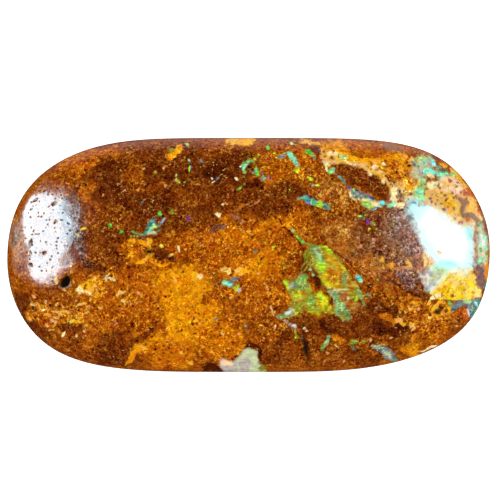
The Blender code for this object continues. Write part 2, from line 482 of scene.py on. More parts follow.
# Clays, sands and dark ironstone with a clear edge
STONE_MARKS = (
    # the brown island right of the middle and the gold bank over it
    patch(Tone.CHESTNUT, (6.1, 6.35), (7, 6.4), (7.9, 6.15), (8.8, 5.75), (9.35, 5.3), (9.75, 4.8),
        (9.9, 4.2), (9.3, 3.95), (8.7, 4.1), (8, 4.5), (7.4, 4.95), (6.7, 5.3), (6.2, 5.7)),
    patch(Tone.SAND, (4.9, 7.45), (5.6, 7.3), (6.2, 7.1), (6.6, 6.7), (6.3, 6.5), (6, 6.45), (5.7, 6.15),
        (5.2, 6.3), (5, 6.8)),
    patch(Tone.BRIGHT_GOLD, (5.9, 7.4), (6.6, 7.2), (7.2, 6.9), (7.3, 6.45), (6.6, 6.5), (6.4, 6.9)),
    *flecks(Tone.RUSSET, 0.22, (5.3, 6.9), (5.8, 6.75), (6.3, 6.9), (5.9, 7.2), (6.8, 6.95), (5.2, 7.25)),
    seam(Tone.SAND, 0.34, (6, 6.5), (7.1, 6.4), (7.7, 6.3), (8.3, 6.05), (9, 5.75), (9.4, 5.3), (9.7, 4.85),
        (10, 4.35)),
    seam(Tone.BRIGHT_GOLD, 0.34, (7, 6.9), (7.9, 6.65), (8.6, 6.6), (9.3, 6.6)),
    seam(Tone.CREAM, 0.16, (6.9, 6.45), (7.5, 6.3)),
    patch(Tone.CREAM, (9.95, 4.75), (10.3, 4.6), (10.45, 4.1), (10.3, 3.7), (10.9, 3.55), (10.7, 3.25),
        (10.1, 3.4), (9.9, 3.9)),
    oval(Tone.PLUM_BROWN, 4.6, 7.35, 0.8, 0.5, -30),
    *flecks(Tone.CREAM, 0.34, (5.45, 6.3), (5.6, 7.1), (6.1, 7.05), (6.85, 6.6), (5.35, 6.05)),
    *flecks(Tone.CREAM, 0.28, (9.45, 6.32), (8.8, 6.2), (9.35, 5.1), (8.5, 5.7)),
    # the gold net above the opal at the right
    *flecks(Tone.UMBER, 0.26, (11, 6.38), (11.25, 6.15), (10.9, 5.45), (10.1, 5), (10.35, 5.9), (10.15, 6.5)),
    *flecks(Tone.FLAME, 0.5, (11.4, 5.05), (10.6, 5.35), (10.2, 6.3)),
    *flecks(Tone.BRIGHT_GOLD, 0.42, (10.7, 6.1), (11.1, 4.75), (10.95, 6.85), (10.3, 6.75), (11.45, 6.65)),
    seam(Tone.TAUPE, 0.44, (9.4, 7.55), (10.2, 7.5), (10.8, 7.35)),
    patch(Tone.RUSSET, (12.5, 7.1), (13, 7), (13.5, 6.6), (13.3, 6.3), (12.95, 6.55), (12.6, 6.8)),
    oval(Tone.BRIGHT_GOLD, 13.6, 6.35, 0.5, 0.36, -30),
    seam(Tone.BRIGHT_GOLD, 0.34, (13.9, 6.15), (14.5, 5.65), (15, 5.1)),
    # the gold and peach bank over the right end
    patch(Tone.SAND, (12.45, 4.5), (13, 4.95), (13.5, 5.5), (14.2, 5.5), (14.8, 5.3), (15.4, 4.6), (15.8, 4),
        (16.15, 3.2), (16.3, 2.6), (16, 1.6), (15, 1.5), (14.3, 1.7), (13.6, 2.3), (12.9, 2.8), (12.3, 3.3)),
    oval(Tone.PALE_PEACH, 14.2, 5.1, 1.4, 0.5, -20),
    oval(Tone.CREAM, 13.2, 4.9, 0.6, 0.3, -20),
    oval(Tone.BRIGHT_GOLD, 13.9, 3.5, 0.9, 0.4, -20),
    oval(Tone.PALE_PEACH, 14.3, 4.5, 1.8, 0.5),
    patch(Tone.FLAME, (15, 4.5), (15.4, 4.7), (15.8, 4.1), (15.5, 4.05), (15.2, 4.15)),
    patch(Tone.TAUPE, (14.55, 3.9), (14.9, 4), (15.3, 4), (15.3, 3.5), (15.15, 3), (15.7, 2.85), (16.1, 2.45),
        (16.15, 1.9), (15.95, 1.8), (15.75, 2.25), (15.3, 2.5), (14.9, 2.5), (14.8, 3), (14.85, 3.5),
        ragged=0.2),
    patch(Tone.BRIGHT_GOLD, (15.4, 3.9), (15.85, 3.85), (16.15, 3.2), (16.05, 2.85), (15.45, 3.05),
        (15.2, 3.25)),
    *flecks(Tone.FLAME, 0.3, (15.2, 2.4), (16.15, 3.15), (14.75, 2.2), (14.05, 5.1)),
    *flecks(Tone.TAUPE, 0.2, (12.7, 3.9), (13.2, 3.8), (13.4, 4.25), (13.5, 3.55), (13.8, 3.85), (13.7, 3.15),
        (13.95, 3.3), (14.2, 4.3), (14.5, 4.05), (12.75, 3.45), (13.1, 3.5), (14.4, 2.6), (14, 5.15),
        (14.6, 5), (14.3, 3.2), (14.9, 4.35), (13.6, 4.1), (14.65, 4.7), (15.35, 3.6)),
    *flecks(Tone.PLUM_BROWN, 0.16, (13.25, 4.55), (13.75, 3.8), (14.3, 4), (13.6, 3.2), (12.8, 3.7)),
    seam(Tone.PLUM_BROWN, 0.4, (15.95, -0.45), (16.15, -1.1), (16.3, -1.75), (16.15, -2.3)),
    seam(Tone.GOLD, 0.42, (16.65, -0.5), (16.72, -1.1), (16.65, -1.8)),
    # the yellow bank at the right end
    patch(Tone.LEMON, (12.75, -2.35), (13.2, -1.6), (13.7, -1), (14.5, -0.7), (15.7, -0.7), (15.9, -1.5),
        (16, -2.2), (16.2, -2.5), (16, -3), (15.3, -3.05), (14.5, -2.95), (13.9, -2.75), (13.3, -2.85),
        (12.7, -2.75), ragged=0.2),
    oval(Tone.CREAM, 14.8, -1.25, 1.4, 0.4, 4),
    seam(Tone.LEMON, 0.24, (13, -2.9), (14.2, -3), (15.6, -3.1)),
    *flecks(Tone.GOLD, 0.24, (15.7, -2.55), (15.65, -2.9), (14.2, -2.55), (13.2, -2.4), (13.6, -2.2),
        (15, -2.3)),
    *flecks(Tone.OLIVE, 0.15, (13.95, -1.65), (13.85, -2.52), (14.9, -2.32), (13.9, -2.3)),
    seam(Tone.CREAM, 0.24, (12.6, -3.05), (13.1, -2.75), (13.5, -2.7)),
    patch(Tone.FLAME, (14.4, -3.95), (14.8, -3.62), (15.15, -3.5), (15.3, -3.9), (15.4, -4.35), (15.2, -4.7),
        (14.6, -4.6), (14.3, -4.3)),
    oval(Tone.BARK, 14.7, -4.45, 0.5, 0.4),
    # the net of gold clay below it
    *seams(Tone.BRIGHT_GOLD, (0.26, (12.5, -3.95), (13.05, -3.7), (13.35, -3.25), (13.7, -3.4)),
        (0.24, (13.05, -3.7), (13.3, -3.9), (13.7, -3.95)), (0.24, (12.6, -3.1), (12.5, -3.6)),
        (0.2, (12.95, -4.1), (13.2, -4.5)), (0.2, (11.2, -3.4), (11.9, -3.2)),
        (0.32, (9.9, -4.65), (10.4, -4.5), (10.85, -4.85))),
    *flecks(Tone.BRIGHT_GOLD, 0.2, (12.45, -4.5), (12.75, -4.05), (12.6, -4.35), (12.4, -5.3), (13.2, -4.85)),
    *flecks(Tone.UMBER, 0.26, (13.15, -3.95), (13.45, -3.75), (12.55, -4.2), (13.75, -3.85)),
    *flecks(Tone.PEACH, 0.22, (12.35, -4.2), (12.35, -4.85), (14.6, -4.9), (11.9, -3.7)),
    seam(Tone.BRIGHT_GOLD, 0.34, (11.05, -4.75), (11.4, -4.95), (11.6, -5.05)),
    seam(Tone.SAND, 0.26, (11.5, -5), (11.35, -5.4)),
    patch(Tone.AMBER, (9, -4.15), (9.7, -4.1), (10.1, -4.4), (10.2, -4.8), (9.7, -4.7), (9.3, -4.55)),
    seam(Tone.CREAM, 0.12, (11.9, -6.75), (12.5, -6.6), (13.2, -6.25)),
    *(seam(Tone.PLUM_BROWN, 0.13, (x, y), (x + 0.3, y - 0.3))
      for x, y in ((10.9, 2.45), (11.2, 2.7), (11.0, 1.9), (11.35, 1.6), (11.5, 2.1), (11.75, 1.3))),
    *flecks(Tone.BRIGHT_GOLD, 0.36, (9.9, -0.65), (11.05, -0.5), (11.2, -0.75), (9.25, -0.25)),
    seam(Tone.CLAY, 0.22, (9.6, -0.9), (10.4, -0.9), (11.3, -0.95), (12, -0.7)),
    # dark spots and streaks of the lower right
    *ovals(Tone.UMBER, (8.45, -2.15, 0.36, 0.26), (8.42, -6.15, 0.34, 0.28)),
    oval(Tone.AMBER, 6.4, -5.85, 1.1, 0.32, -18),
    oval(Tone.CLAY, 9, -1, 1, 0.3, -16),
    seam(Tone.UMBER, 0.4, (8.8, 0.35), (9.1, 0.05), (9.4, -0.1)),
    seam(Tone.BARK, 0.12, (5.2, 0.85), (6.1, 0.2), (7.1, -0.6), (8, -1.4), (8.7, -1.8)),
    seam(Tone.UMBER, 0.16, (9, -1.5), (9.9, -1.75), (10.8, -2.35), (11.6, -2.8), (12.4, -2.9)),
    *flecks(Tone.PEACH, 0.18, (8.5, -5.85), (9.95, -5.85), (6.6, -7.4), (5.5, -6.8)),
    # the pit, the cream clay and the gold at the left
    patch(Tone.BRIGHT_GOLD, (-12, -2.3), (-11.5, -2.05), (-11.1, -1.9), (-10.7, -1.5), (-10.4, -1.8),
        (-10.6, -2.2), (-10.9, -2.6), (-11.3, -2.7), (-11.8, -2.6)),
    *flecks(Tone.RUSSET, 0.2, (-10.95, -2), (-11.35, -2.2), (-10.7, -2.3), (-10.75, -1.7)),
    *flecks(Tone.GOLD, 0.3, (-10.2, -1.9), (-10.1, -2.4), (-10.5, -2.7)),
    *ovals(Tone.CREAM, (-11.68, -2.38, 0.46, 0.52), (-11.15, -2.52, 0.5, 0.2, -30)),
    *seams(Tone.SAND, (0.16, (-10.75, -2.65), (-10.9, -2.95), (-11.1, -3.15)),
        (0.17, (-11.3, -3.3), (-11.6, -3.35), (-12, -3.6))),
    *ovals(Tone.LEMON, (-12.2, -4.62, 0.44, 0.26), (-8.07, 0.62, 0.26, 0.22)),
    *ovals(Tone.BRIGHT_GOLD, (-11.85, -4.65, 0.7, 0.22, 4), (-3.65, -1.4, 0.7, 0.46)),
    *seams(Tone.SAND, (0.18, (-13.5, -3.95), (-13.2, -4.05), (-13, -4.3)),
        (0.22, (-13.4, -1.5), (-13.4, -1.95))),
    *ovals(Tone.CREAM, (-14.2, -3.76, 0.26, 0.2), (-8.85, -3.75, 0.22, 0.16)),
    *flecks(Tone.PEACH, 0.21, (-13.82, -4.32), (-13.66, -4.6), (-14.05, -5), (-12, -5.6), (-11.35, -5.25),
        (-11.2, -5.6), (-15, -2.95)),
    *flecks(Tone.SAND, 0.2, (-13.5, -4.42), (-13.45, -4.7), (-12.6, -5.1), (-13.4, -3.5), (-14.1, -3.2)),
    *seams(Tone.CREAM, (0.22, (-12.85, -5.35), (-12.98, -5.75)), (0.18, (-12.4, -0.65), (-12.42, -0.85))),
    *ovals(Tone.SAND, (-13.75, -5.28, 0.42, 0.14), (-4.65, -6.83, 0.36, 0.2, -20)),
    *seams(Tone.PEACH, (0.16, (-13.3, -2), (-12.9, -2.35), (-12.75, -2.6)),
        (0.12, (-7.65, -2.4), (-7.55, -2.65), (-7.35, -2.7))),
    seam(Tone.SAND, 0.14, (-12.35, -1), (-12.35, -1.4)),
    oval(Tone.UMBER, -11.15, -0.75, 0.5, 0.24),
    patch(Tone.CREAM, (-10.05, -1.6), (-9.8, -1.4), (-9.55, -1.55), (-9.25, -1.65), (-9.3, -1.85),
        (-9.6, -1.8)),
    seam(Tone.LEMON, 0.12, (-9.58, -1.15), (-9.75, -1.5)),
    # painted pit shade: two small dark pits
    *flecks(Tone.PIT_SHADE_BLACK, 0.13, (-9.68, -1.55), (-9.5, -1.74)),
    *flecks(Tone.PLUM_BROWN, 0.2, (-10.3, -2.5), (-9.65, -2.5), (-9.85, -1.3), (-10.1, -1.15)),
    *flecks(Tone.SAND, 0.24, (-9.05, -2.8), (-8.85, -2.65), (-8.7, -3.1), (-8.6, -3.4), (-10.4, -3.7)),
    seam(Tone.AMBER, 0.2, (-9.3, -3.4), (-9.05, -3.35)),
    *seams(Tone.GOLD, (0.3, (-8.4, 0.9), (-7.9, 1), (-7.3, 0.85), (-7, 0.4)),
        (0.26, (-8.5, -0.2), (-8.1, 0.1), (-7.9, 0.5))),
    *seams(Tone.BRIGHT_GOLD, (0.26, (-7.95, -0.7), (-7.4, -0.45), (-7, 0.05)),
        (0.4, (-6.83, 1.3), (-6.85, 0.9), (-6.93, 0.5), (-6.93, -0.1))),
    *ovals(Tone.BARK, (-6.15, 0.08, 1.3, 0.72, 4), (-5.45, -0.15, 0.8, 0.4, -10)),
    seam(Tone.GOLD, 0.3, (-6.95, -0.1), (-6.6, -0.45), (-6.2, -0.65), (-5.7, -0.62), (-5.35, -0.5)),
    seam(Tone.SAND, 0.2, (-5.6, -0.05), (-5.2, 0.05)),
    oval(Tone.LEMON, -6, 0.64, 0.38, 0.27),
    *ovals(Tone.CREAM, (-4.77, 0.5, 0.2, 0.42, 12), (-3.35, -1.42, 0.34, 0.3)),
    seam(Tone.BRIGHT_GOLD, 0.34, (-5.3, -1.1), (-5.2, -1.45), (-5, -1.8)),
    *seams(Tone.GOLD, (0.26, (-6.2, -1.2), (-6, -1.5), (-5.9, -1.9)),
        (0.5, (-8.5, -7.6), (-7.95, -6.8), (-7.25, -6.3), (-6.75, -5.85), (-6, -5.4))),
    seam(Tone.CHESTNUT, 0.44, (-8.9, -7.2), (-8.3, -6.3), (-7.4, -5.7), (-6.7, -5.2), (-6.2, -4.6)),
    *ovals(Tone.BRIGHT_GOLD, (-4, -7.4, 0.5, 0.34), (-7.5, -6.6, 0.6, 0.34, 20)),
    *flecks(Tone.UMBER, 0.24, (-8.37, -5.2), (-8.1, -4.75), (-9.6, -6.25), (-9.3, -6.6), (-6.75, -5.65),
        (-7.15, -6.25), (-10.05, -6.3), (-8.3, -0.85), (-8.3, -1.5)),
    *flecks(Tone.BARK, 0.18, (-6.15, -3.55), (-5.8, -2.9), (-4.95, -3.35), (-5.45, -6.4), (-6, -6.5),
        (-6.4, -6.5), (-4.3, -2.1), (-3.65, -2.1), (-4.6, -5.15), (-3.9, -4.5), (-3.85, -4.75),
        (-3.75, -5.55), (-1.4, -6.7)),
    # the orange streak and the clays of the middle
    seam(Tone.GOLD, 0.5, (-4.7, 7.6), (-4.95, 7.3), (-5.3, 7), (-5.8, 6.75)),
    *ovals(Tone.BRIGHT_GOLD, (-5, 7.2, 0.5, 0.36, 40), (-0.55, 7.95, 2, 0.74)),
    seam(Tone.AMBER, 0.26, (-5.6, 6.25), (-5.8, 6.1), (-5.9, 5.85)),
    *flecks(Tone.PEACH, 0.2, (-5.9, 5.86), (-9, 5), (-7.72, 4.6), (-10.25, 4.22), (-5.85, 4.85), (-1.4, 5.35),
        (-2.9, 4.15), (-1.45, 3.6), (-7.25, 6.1)),
    oval(Tone.PEACH, -8.65, 4.45, 0.34, 0.14, -10),
    *flecks(Tone.CREAM, 0.15, (-9.05, 4.05), (-1.75, 3.5), (-2.65, 5.42)),
    *ovals(Tone.CREAM, (-0.75, 5.3, 0.3, 0.14, -58), (-2.15, 2.75, 0.46, 0.28, 24)),
    seam(Tone.CREAM, 0.14, (-2.6, 5.05), (-2.45, 5.2), (-2.3, 5.3)),
    *seams(Tone.CLAY, (0.18, (-1.15, 3), (-0.7, 3.25), (-0.3, 3.55), (0.25, 3.8)),
        (0.13, (-0.1, 3.3), (0.5, 3.6), (1.1, 4.1))),
    oval(Tone.AMBER, -1.75, 2.5, 0.8, 0.6, 20),
    seam(Tone.PLUM_BROWN, 0.42, (-2.6, 1.7), (-2.2, 1.85), (-1.6, 1.95)),
    *flecks(Tone.TAUPE, 0.26, (-0.85, 2.6), (-1.1, 2.75), (-0.6, 2.45), (-1.75, 1.95), (-2.5, 1.6)),
    seam(Tone.UMBER, 0.12, (1.9, 2.7), (2.35, 2.25), (2.7, 1.8), (3.05, 1.42), (3.5, 1.1), (3.8, 0.7),
        (3.95, 0.2)),
    oval(Tone.CLAY, -1.5, 0.6, 0.22, 0.34),
    *flecks(Tone.BARK, 0.26, (1.55, 1.75), (0.4, 1.2), (0.35, 2.05), (-0.32, -1.3), (0.66, -0.76),
        (0.82, -0.35)),
    *flecks(Tone.FLAME, 0.36, (0.3, 0.7), (-2.2, -3)),
    patch(Tone.BRIGHT_GOLD, (-1, -1), (-0.6, -0.7), (-0.2, -0.9), (0.3, -1.1), (0.2, -1.4), (-0.4, -1.35),
        (-0.9, -1.4)),
    seam(Tone.SAND, 0.26, (-1.85, -1.1), (-1.6, -0.95), (-1.3, -1.05)),
    seam(Tone.LEMON, 0.24, (-1.5, -1.05), (-1.2, -1.25)),
    *flecks(Tone.SAND, 0.22, (0.78, -1.28), (-0.05, -1.15), (-1.4, -3.05), (-0.1, -3.25), (0.5, -3.4),
        (-1.75, -5.6)),
    *flecks(Tone.PEACH, 0.17, (1.1, -1.95), (1.3, -2.55), (2.25, -2.65), (0.6, -4.6), (1.9, -5.05),
        (1.6, -5.9), (-0.7, -5.6), (1.1, -5.8)),
    *seams(Tone.SAND, (0.15, (1.1, -1.95), (1.25, -2.2), (1.45, -2.4)),
        (0.26, (3.6, 8.05), (4.3, 7.9), (5, 7.7))),
    seam(Tone.PEACH, 0.12, (1.45, -3.5), (1.7, -3.9), (1.95, -4.25)),
    seam(Tone.CLAY, 0.1, (2, -4.25), (2.4, -4.5), (2.85, -4.8)),
    oval(Tone.SAND, -1.1, 8, 0.4, 0.5),
    patch(Tone.UMBER, (-3.3, -8.2), (-3.2, -7.75), (-2.7, -7.5), (-2.2, -7.7), (-1.6, -8), (-1.5, -8.3)),
    seam(Tone.UMBER, 0.34, (-0.35, -6.45), (0.1, -6.3), (0.5, -6.35), (0.78, -6.8), (0.85, -7.3)),
    # the dark wedge between the two lobes of the star, and the crack under it
    patch(Tone.CHESTNUT, (3.85, 0.3), (4.1, -0.2), (4.5, -0.9), (4.9, -1.5), (5.2, -2.1), (5, -2.4),
        (4.6, -2.5), (4.2, -1.9), (3.85, -1.2), (3.65, -0.5)),
    oval(Tone.UMBER, 4.78, -1.78, 1.1, 0.44, -58),
    seam(Tone.OCHRE, 0.26, (4.2, -1.6), (4.5, -2.2), (4.8, -2.5)),
    seam(Tone.RUST, 0.26, (5, -2.2), (5.4, -2.9), (5.8, -3.6), (6.1, -4.2)),
    *seams(Tone.UMBER, (0.1, (5.2, -2.3), (5.6, -3), (5.95, -3.8)),
        (0.1, (4, 0.3), (3.85, -0.4), (3.65, -1.1))),
    oval(Tone.UMBER, 0.87, 4.75, 0.18, 0.18),
)

# Opal and potch: what has a play of colour or the pale grey of common opal
OPAL_MARKS = (
    # the streak left of the middle, with its grey tail
    seam(Tone.UMBER, 0.18, (-8.3, 1.25), (-7.9, 1.35), (-7.3, 1.2)),
    seam(Tone.SAGE, 0.16, (-8.3, 1.6), (-7.9, 1.68), (-7.5, 1.45), (-7.05, 1.38)),
    seam(Tone.TEAL, 0.28, (-7.1, 1.35), (-6.9, 1.9), (-6.65, 2.35), (-6.45, 2.6)),
    seam(Tone.SLATE, 0.2, (-6.5, 1.9), (-6.2, 2.25), (-5.95, 2.5), (-5.75, 2.6)),
    seam(Tone.LILAC, 0.1, (-6.15, 2.3), (-5.95, 2.5), (-5.75, 2.6)),
    seam(Tone.MINT, 0.18, (-6.95, 1.55), (-6.7, 1.9), (-6.5, 2.3)),
    *flecks(Tone.LIME, 0.14, (-6.68, 1.82), (-6.2, 2.1)),
    oval(Tone.LIME, -6.55, 1.98, 0.3, 0.16, 30),
    oval(Tone.TURQUOISE, -6.3, 1.78, 0.36, 0.14, 40),
    seam(Tone.POTCH, 0.15, (-6.95, 1.5), (-6.7, 1.55), (-6.4, 1.5)),
    oval(Tone.BLUE, -6.08, 2.28, 0.16, 0.26),
    oval(Tone.NAVY, -6.72, 2.15, 0.26, 0.12, 60),
    oval(Tone.SLATE, -7.2, 1.15, 0.18, 0.16),
    # flecks of the brown upper left
    *flecks(Tone.LEAF, 0.27, (-9.67, 2.03), (-8.86, 1.65), (-6.1, 2.93)),
    seam(Tone.YELLOW, 0.17, (-11.15, 1.95), (-11.4, 1.8), (-11.7, 1.65)),
    *flecks(Tone.YELLOW, 0.15, (-11.9, 1.3), (-3.3, 2.57), (-4.2, 2.2)),
    *flecks(Tone.OLIVE, 0.34, (-5.4, 7.4), (-6.6, 5.7), (-5.3, 3.05), (-4.9, 5.2)),
    oval(Tone.PALE_GREEN, -4.25, 7.65, 0.26, 0.22),
    seam(Tone.MINT, 0.15, (-4.3, 6.65), (-4.15, 6.45)),
    seam(Tone.LIME, 0.15, (-4.15, 6.15), (-4.18, 5.95), (-4.08, 5.7)),
    oval(Tone.BLUE, -4, 6.02, 0.18, 0.24),
    *flecks(Tone.PALE_GREEN, 0.15, (-4.95, 5.35), (-5.02, 5.6), (-4.48, 4.86)),
    oval(Tone.TEAL, -7.5, 3.82, 0.26, 0.18, 20),
    *flecks(Tone.VIOLET, 0.2, (-4.18, 2.55), (1, 5.75), (-9.2, -4.6)),
    oval(Tone.SLATE, -3.2, 6.65, 0.2, 0.4, 20),
    seam(Tone.SLATE, 0.2, (-2.35, 5.25), (-2.15, 5.4), (-2, 5.55)),
    oval(Tone.PEARL, -2.65, 5.42, 0.14, 0.14),
    oval(Tone.LEAF, -0.6, 4.62, 0.38, 0.13, 32),
    oval(Tone.MOSS, -0.23, 4.92, 0.16, 0.22),
    # the green arc over the middle
    seam(Tone.MOSS, 0.26, (-0.5, 6.15), (-0.2, 6.3), (0.1, 6.5), (0.4, 6.6)),
    seam(Tone.MINT, 0.22, (-0.3, 5.85), (-0.22, 6.1), (-0.05, 6.3), (0.15, 6.5)),
    oval(Tone.ICE, -0.45, 6.15, 0.18, 0.16),
    seam(Tone.MOSS, 0.18, (-0.35, 5.75), (-0.1, 5.65)),
    seam(Tone.LEAF, 0.25, (0.5, 6.2), (0.58, 5.9), (0.58, 5.6)),
    oval(Tone.MINT, 0.53, 6, 0.15, 0.24),
    oval(Tone.LILAC_POTCH, 0.33, 5.78, 0.18, 0.16),
    *flecks(Tone.LEAF, 0.18, (0.63, 7.02), (1.08, 5.5), (-4.35, 5.1)),
    *flecks(Tone.YELLOW, 0.15, (0.45, 6.76), (1.6, 5.7), (2.3, 5.3), (1.7, 7.05)),
    seam(Tone.LEAF, 0.2, (1.25, 7.7), (1.35, 7.5), (1.4, 7.3)),
    oval(Tone.CYAN, 1.22, 5.25, 0.28, 0.2),
    oval(Tone.SLATE, 0.92, 5.25, 0.22, 0.2),
    *flecks(Tone.MAGENTA, 0.24, (1.55, 5.38), (1.35, 6.6), (5.1, 6.65), (9.75, 4.2)),
    seam(Tone.SLATE, 0.15, (1.9, 6.72), (2.3, 6.85), (2.7, 7.05)),
    *ovals(Tone.LIME, (1.87, 6.7, 0.2, 0.16), (2.86, 4.58, 0.3, 0.13, -62)),
    patch(Tone.MINT, (2.7, 7.15), (3.05, 7.1), (3.25, 6.75), (3.5, 6.3), (3.3, 6.25), (3, 6.6), (2.75, 6.85)),
    seam(Tone.TURQUOISE, 0.14, (3.15, 6.7), (3.35, 6.4)),
    seam(Tone.LIME, 0.26, (3.1, 5.85), (3.3, 5.95), (3.5, 5.85)),
    seam(Tone.YELLOW, 0.2, (3.4, 6.2), (3.5, 5.9)),
    oval(Tone.PALE_GREEN, 3.1, 7.75, 0.26, 0.24),
    *ovals(Tone.LIME, (4.3, 5.26, 0.4, 0.17, -36), (4.92, 4.8, 0.26, 0.17)),
    oval(Tone.LILAC_POTCH, 4.55, 4.76, 0.28, 0.2),
    seam(Tone.LEAF, 0.34, (4, 7.3), (4.15, 7.1), (4.4, 6.9)),
    seam(Tone.TEAL, 0.18, (4.35, 6.9), (4.7, 6.75)),
    # the green rim of the gold bank and the seam under the brown island
    seam(Tone.PALE_GREEN, 0.34, (6.3, 6.95), (6.6, 6.85), (6.95, 6.65)),
    patch(Tone.MINT, (5.4, 6.05), (5.7, 6), (6.05, 5.95), (6, 5.75), (5.65, 5.65)),
    seam(Tone.LEAF, 0.18, (5.5, 5.95), (5.65, 5.75), (5.9, 5.75)),
    oval(Tone.LILAC, 6.05, 6.5, 0.2, 0.22),
    seam(Tone.TEAL, 0.15, (6.1, 5.6), (6.4, 5.35), (6.65, 5.1), (6.95, 4.9)),
    patch(Tone.SLATE, (7.1, 4.85), (7.5, 4.68), (7.85, 4.4), (8.4, 4.15), (8.15, 3.98), (7.7, 3.88),
        (7.35, 3.95), (7.28, 4.3)),
    oval(Tone.MOSS, 7.3, 4.6, 0.34, 0.2, -30),
    # painted pit shade: a small dark pit
    oval(Tone.PIT_SHADE_BLACK, 7.6, 4.45, 0.26, 0.13),
    oval(Tone.VIOLET, 7.02, 4.66, 0.3, 0.24),
    seam(Tone.NAVY, 0.2, (8.1, 4.1), (8.45, 4), (8.8, 3.82)),
    oval(Tone.VIOLET, 8.28, 4.08, 0.16, 0.13),
    seam(Tone.CREAM, 0.16, (7.1, 4.4), (7.25, 4), (7.5, 3.8), (7.95, 3.85)),
    patch(Tone.PALE_GREEN, (7.9, 3.9), (8.3, 3.95), (8.65, 3.85), (8.8, 3.5), (8.5, 3.2), (8.15, 3.35),
        (7.95, 3.55)),
    *flecks(Tone.LIME, 0.26, (8.15, 3.65), (8.45, 3.45)),
    *flecks(Tone.CREAM, 0.2, (8.35, 3.75), (8.1, 3.85)),
    patch(Tone.CREAM, (8.5, 3.85), (9, 3.7), (9.25, 3.5), (9.25, 3.25), (8.95, 3.3), (8.6, 3.5)),
    oval(Tone.BLUE, 8.77, 3.2, 0.4, 0.2),
    oval(Tone.MINT, 9.2, 3.35, 0.36, 0.2),
    oval(Tone.CYAN, 9.42, 3.68, 0.44, 0.3),
    seam(Tone.MINT, 0.24, (9.7, 3.6), (10, 3.5), (10.15, 3.8)),
    # the turquoise lens
    seam(Tone.TURQUOISE, 0.32, (3.45, 3.9), (3.9, 3.9), (4.5, 3.75), (5.2, 3.4), (5.65, 3.1)),
    oval(Tone.CREAM, 3.45, 3.82, 0.16, 0.1),
    oval(Tone.MINT, 3.8, 3.95, 0.36, 0.18, -10),
    oval(Tone.BLUE, 4.2, 3.75, 0.46, 0.22, -16),
    seam(Tone.LIME, 0.22, (4.5, 3.65), (4.85, 3.5), (5.2, 3.25)),
    seam(Tone.LEAF, 0.12, (4.4, 3.8), (4.9, 3.65), (5.1, 3.55)),
    oval(Tone.TEAL, 5.3, 3.3, 0.5, 0.22, -40),
    oval(Tone.MOSS, 5.65, 3.4, 0.2, 0.3),
    # flecks under the seam
    oval(Tone.LEAF, 7.72, 2.65, 0.26, 0.16),
    oval(Tone.PALE_GREEN, 7.55, 2.68, 0.16, 0.14),
    oval(Tone.NAVY, 7.88, 2.54, 0.26, 0.16, -16),
    *flecks(Tone.LIME, 0.2, (8.1, 2.82), (8.43, 1.9), (3.25, -5.7), (7.95, -2.78)),
    oval(Tone.VIOLET, 8.38, 2.24, 0.3, 0.26),
    *flecks(Tone.MOSS, 0.18, (8.75, 2.15), (8.85, 1.8), (10.1, 2.2), (8.05, 2.4), (9.5, -2.5), (8.9, -1.8)),
    # the seam that runs into the star
    seam(Tone.OLIVE, 0.2, (2.75, 2.05), (3.05, 1.75), (3.4, 1.4), (3.8, 1.05), (4.2, 0.75)),
    oval(Tone.PALE_GREEN, 3.05, 1.72, 0.28, 0.2, -30),
    seam(Tone.MOSS, 0.16, (3.5, 1.3), (3.85, 1), (4.1, 0.8)),
    *flecks(Tone.LEAF, 0.14, (3.85, 1), (3.5, 1.35)),
    *seams(Tone.OLIVE, (0.08, (3.92, 0.3), (3.85, -0.3), (3.72, -0.9), (3.6, -1.4)),
        (0.13, (4.02, 0.3), (4, -0.5), (3.95, -1.2)), (0.2, (2.42, -0.35), (2.42, -0.65))),
    seam(Tone.SAGE, 0.09, (4.15, -0.3), (4.3, -0.9), (4.5, -1.5)),
    *flecks(Tone.LIME, 0.19, (1.17, 0.82), (1.63, 0.66), (2.3, 0.95)),
    oval(Tone.TEAL, 0.4, 0.28, 0.24, 0.26),
    oval(Tone.YELLOW, 2.42, -0.85, 0.13, 0.15),
    # the star's long lobe, which widens from the seam down to a green tongue
    patch(Tone.OLIVE, (4, 0.4), (4.25, 0.85), (5.05, 0.7), (5.6, 0.25), (6.05, -0.1), (6.5, -0.6),
        (6.8, -1.1), (7.2, -1.5), (7.5, -2.1), (7.8, -2.7), (7.4, -3.1), (6.9, -2.6), (5.9, -2.5),
        (5.2, -2.1), (4.85, -1.5), (4.5, -0.8), (4.15, -0.2), ragged=0.16),
    patch(Tone.SAGE, (4.25, 0.75), (4.9, 0.65), (5.3, 0), (5.45, -0.5), (5.1, -0.7), (4.75, -0.5),
        (4.35, 0.1), ragged=0.2),
    seam(Tone.OLIVE, 0.2, (4.15, 0.5), (4.3, -0.1), (4.6, -0.7)),
    seam(Tone.POTCH, 0.22, (4.55, 0.6), (4.7, 0.2), (4.85, -0.2)),
    oval(Tone.PALE_GREEN, 4.95, -0.2, 0.5, 0.26, -60),
    patch(Tone.HONEY, (4.95, 0.45), (5.5, 0.1), (6, -0.3), (6.45, -0.9), (6.5, -1.6), (6.4, -2.4),
        (5.9, -2.45), (5.4, -2.1), (5.05, -1.5), (5.5, -1.2), (5.6, -0.7), (5.3, -0.1), ragged=0.2),
    oval(Tone.AMBER, 5.95, -1.35, 0.5, 1, 14),
    oval(Tone.KHAKI, 5.85, -0.75, 0.5, 0.3, -40),
    seam(Tone.LIME, 0.26, (5.15, 0.62), (5.5, 0.32), (5.85, 0.02)),
    patch(Tone.LIME, (4.8, -0.6), (5.2, -0.6), (5.5, -0.8), (5.45, -1.15), (5.2, -1.2), (4.95, -0.95),
        ragged=0.16),
    oval(Tone.LEAF, 5.15, -0.48, 0.26, 0.15),
    oval(Tone.YELLOW, 5.5, -1.92, 0.9, 0.34, -38),
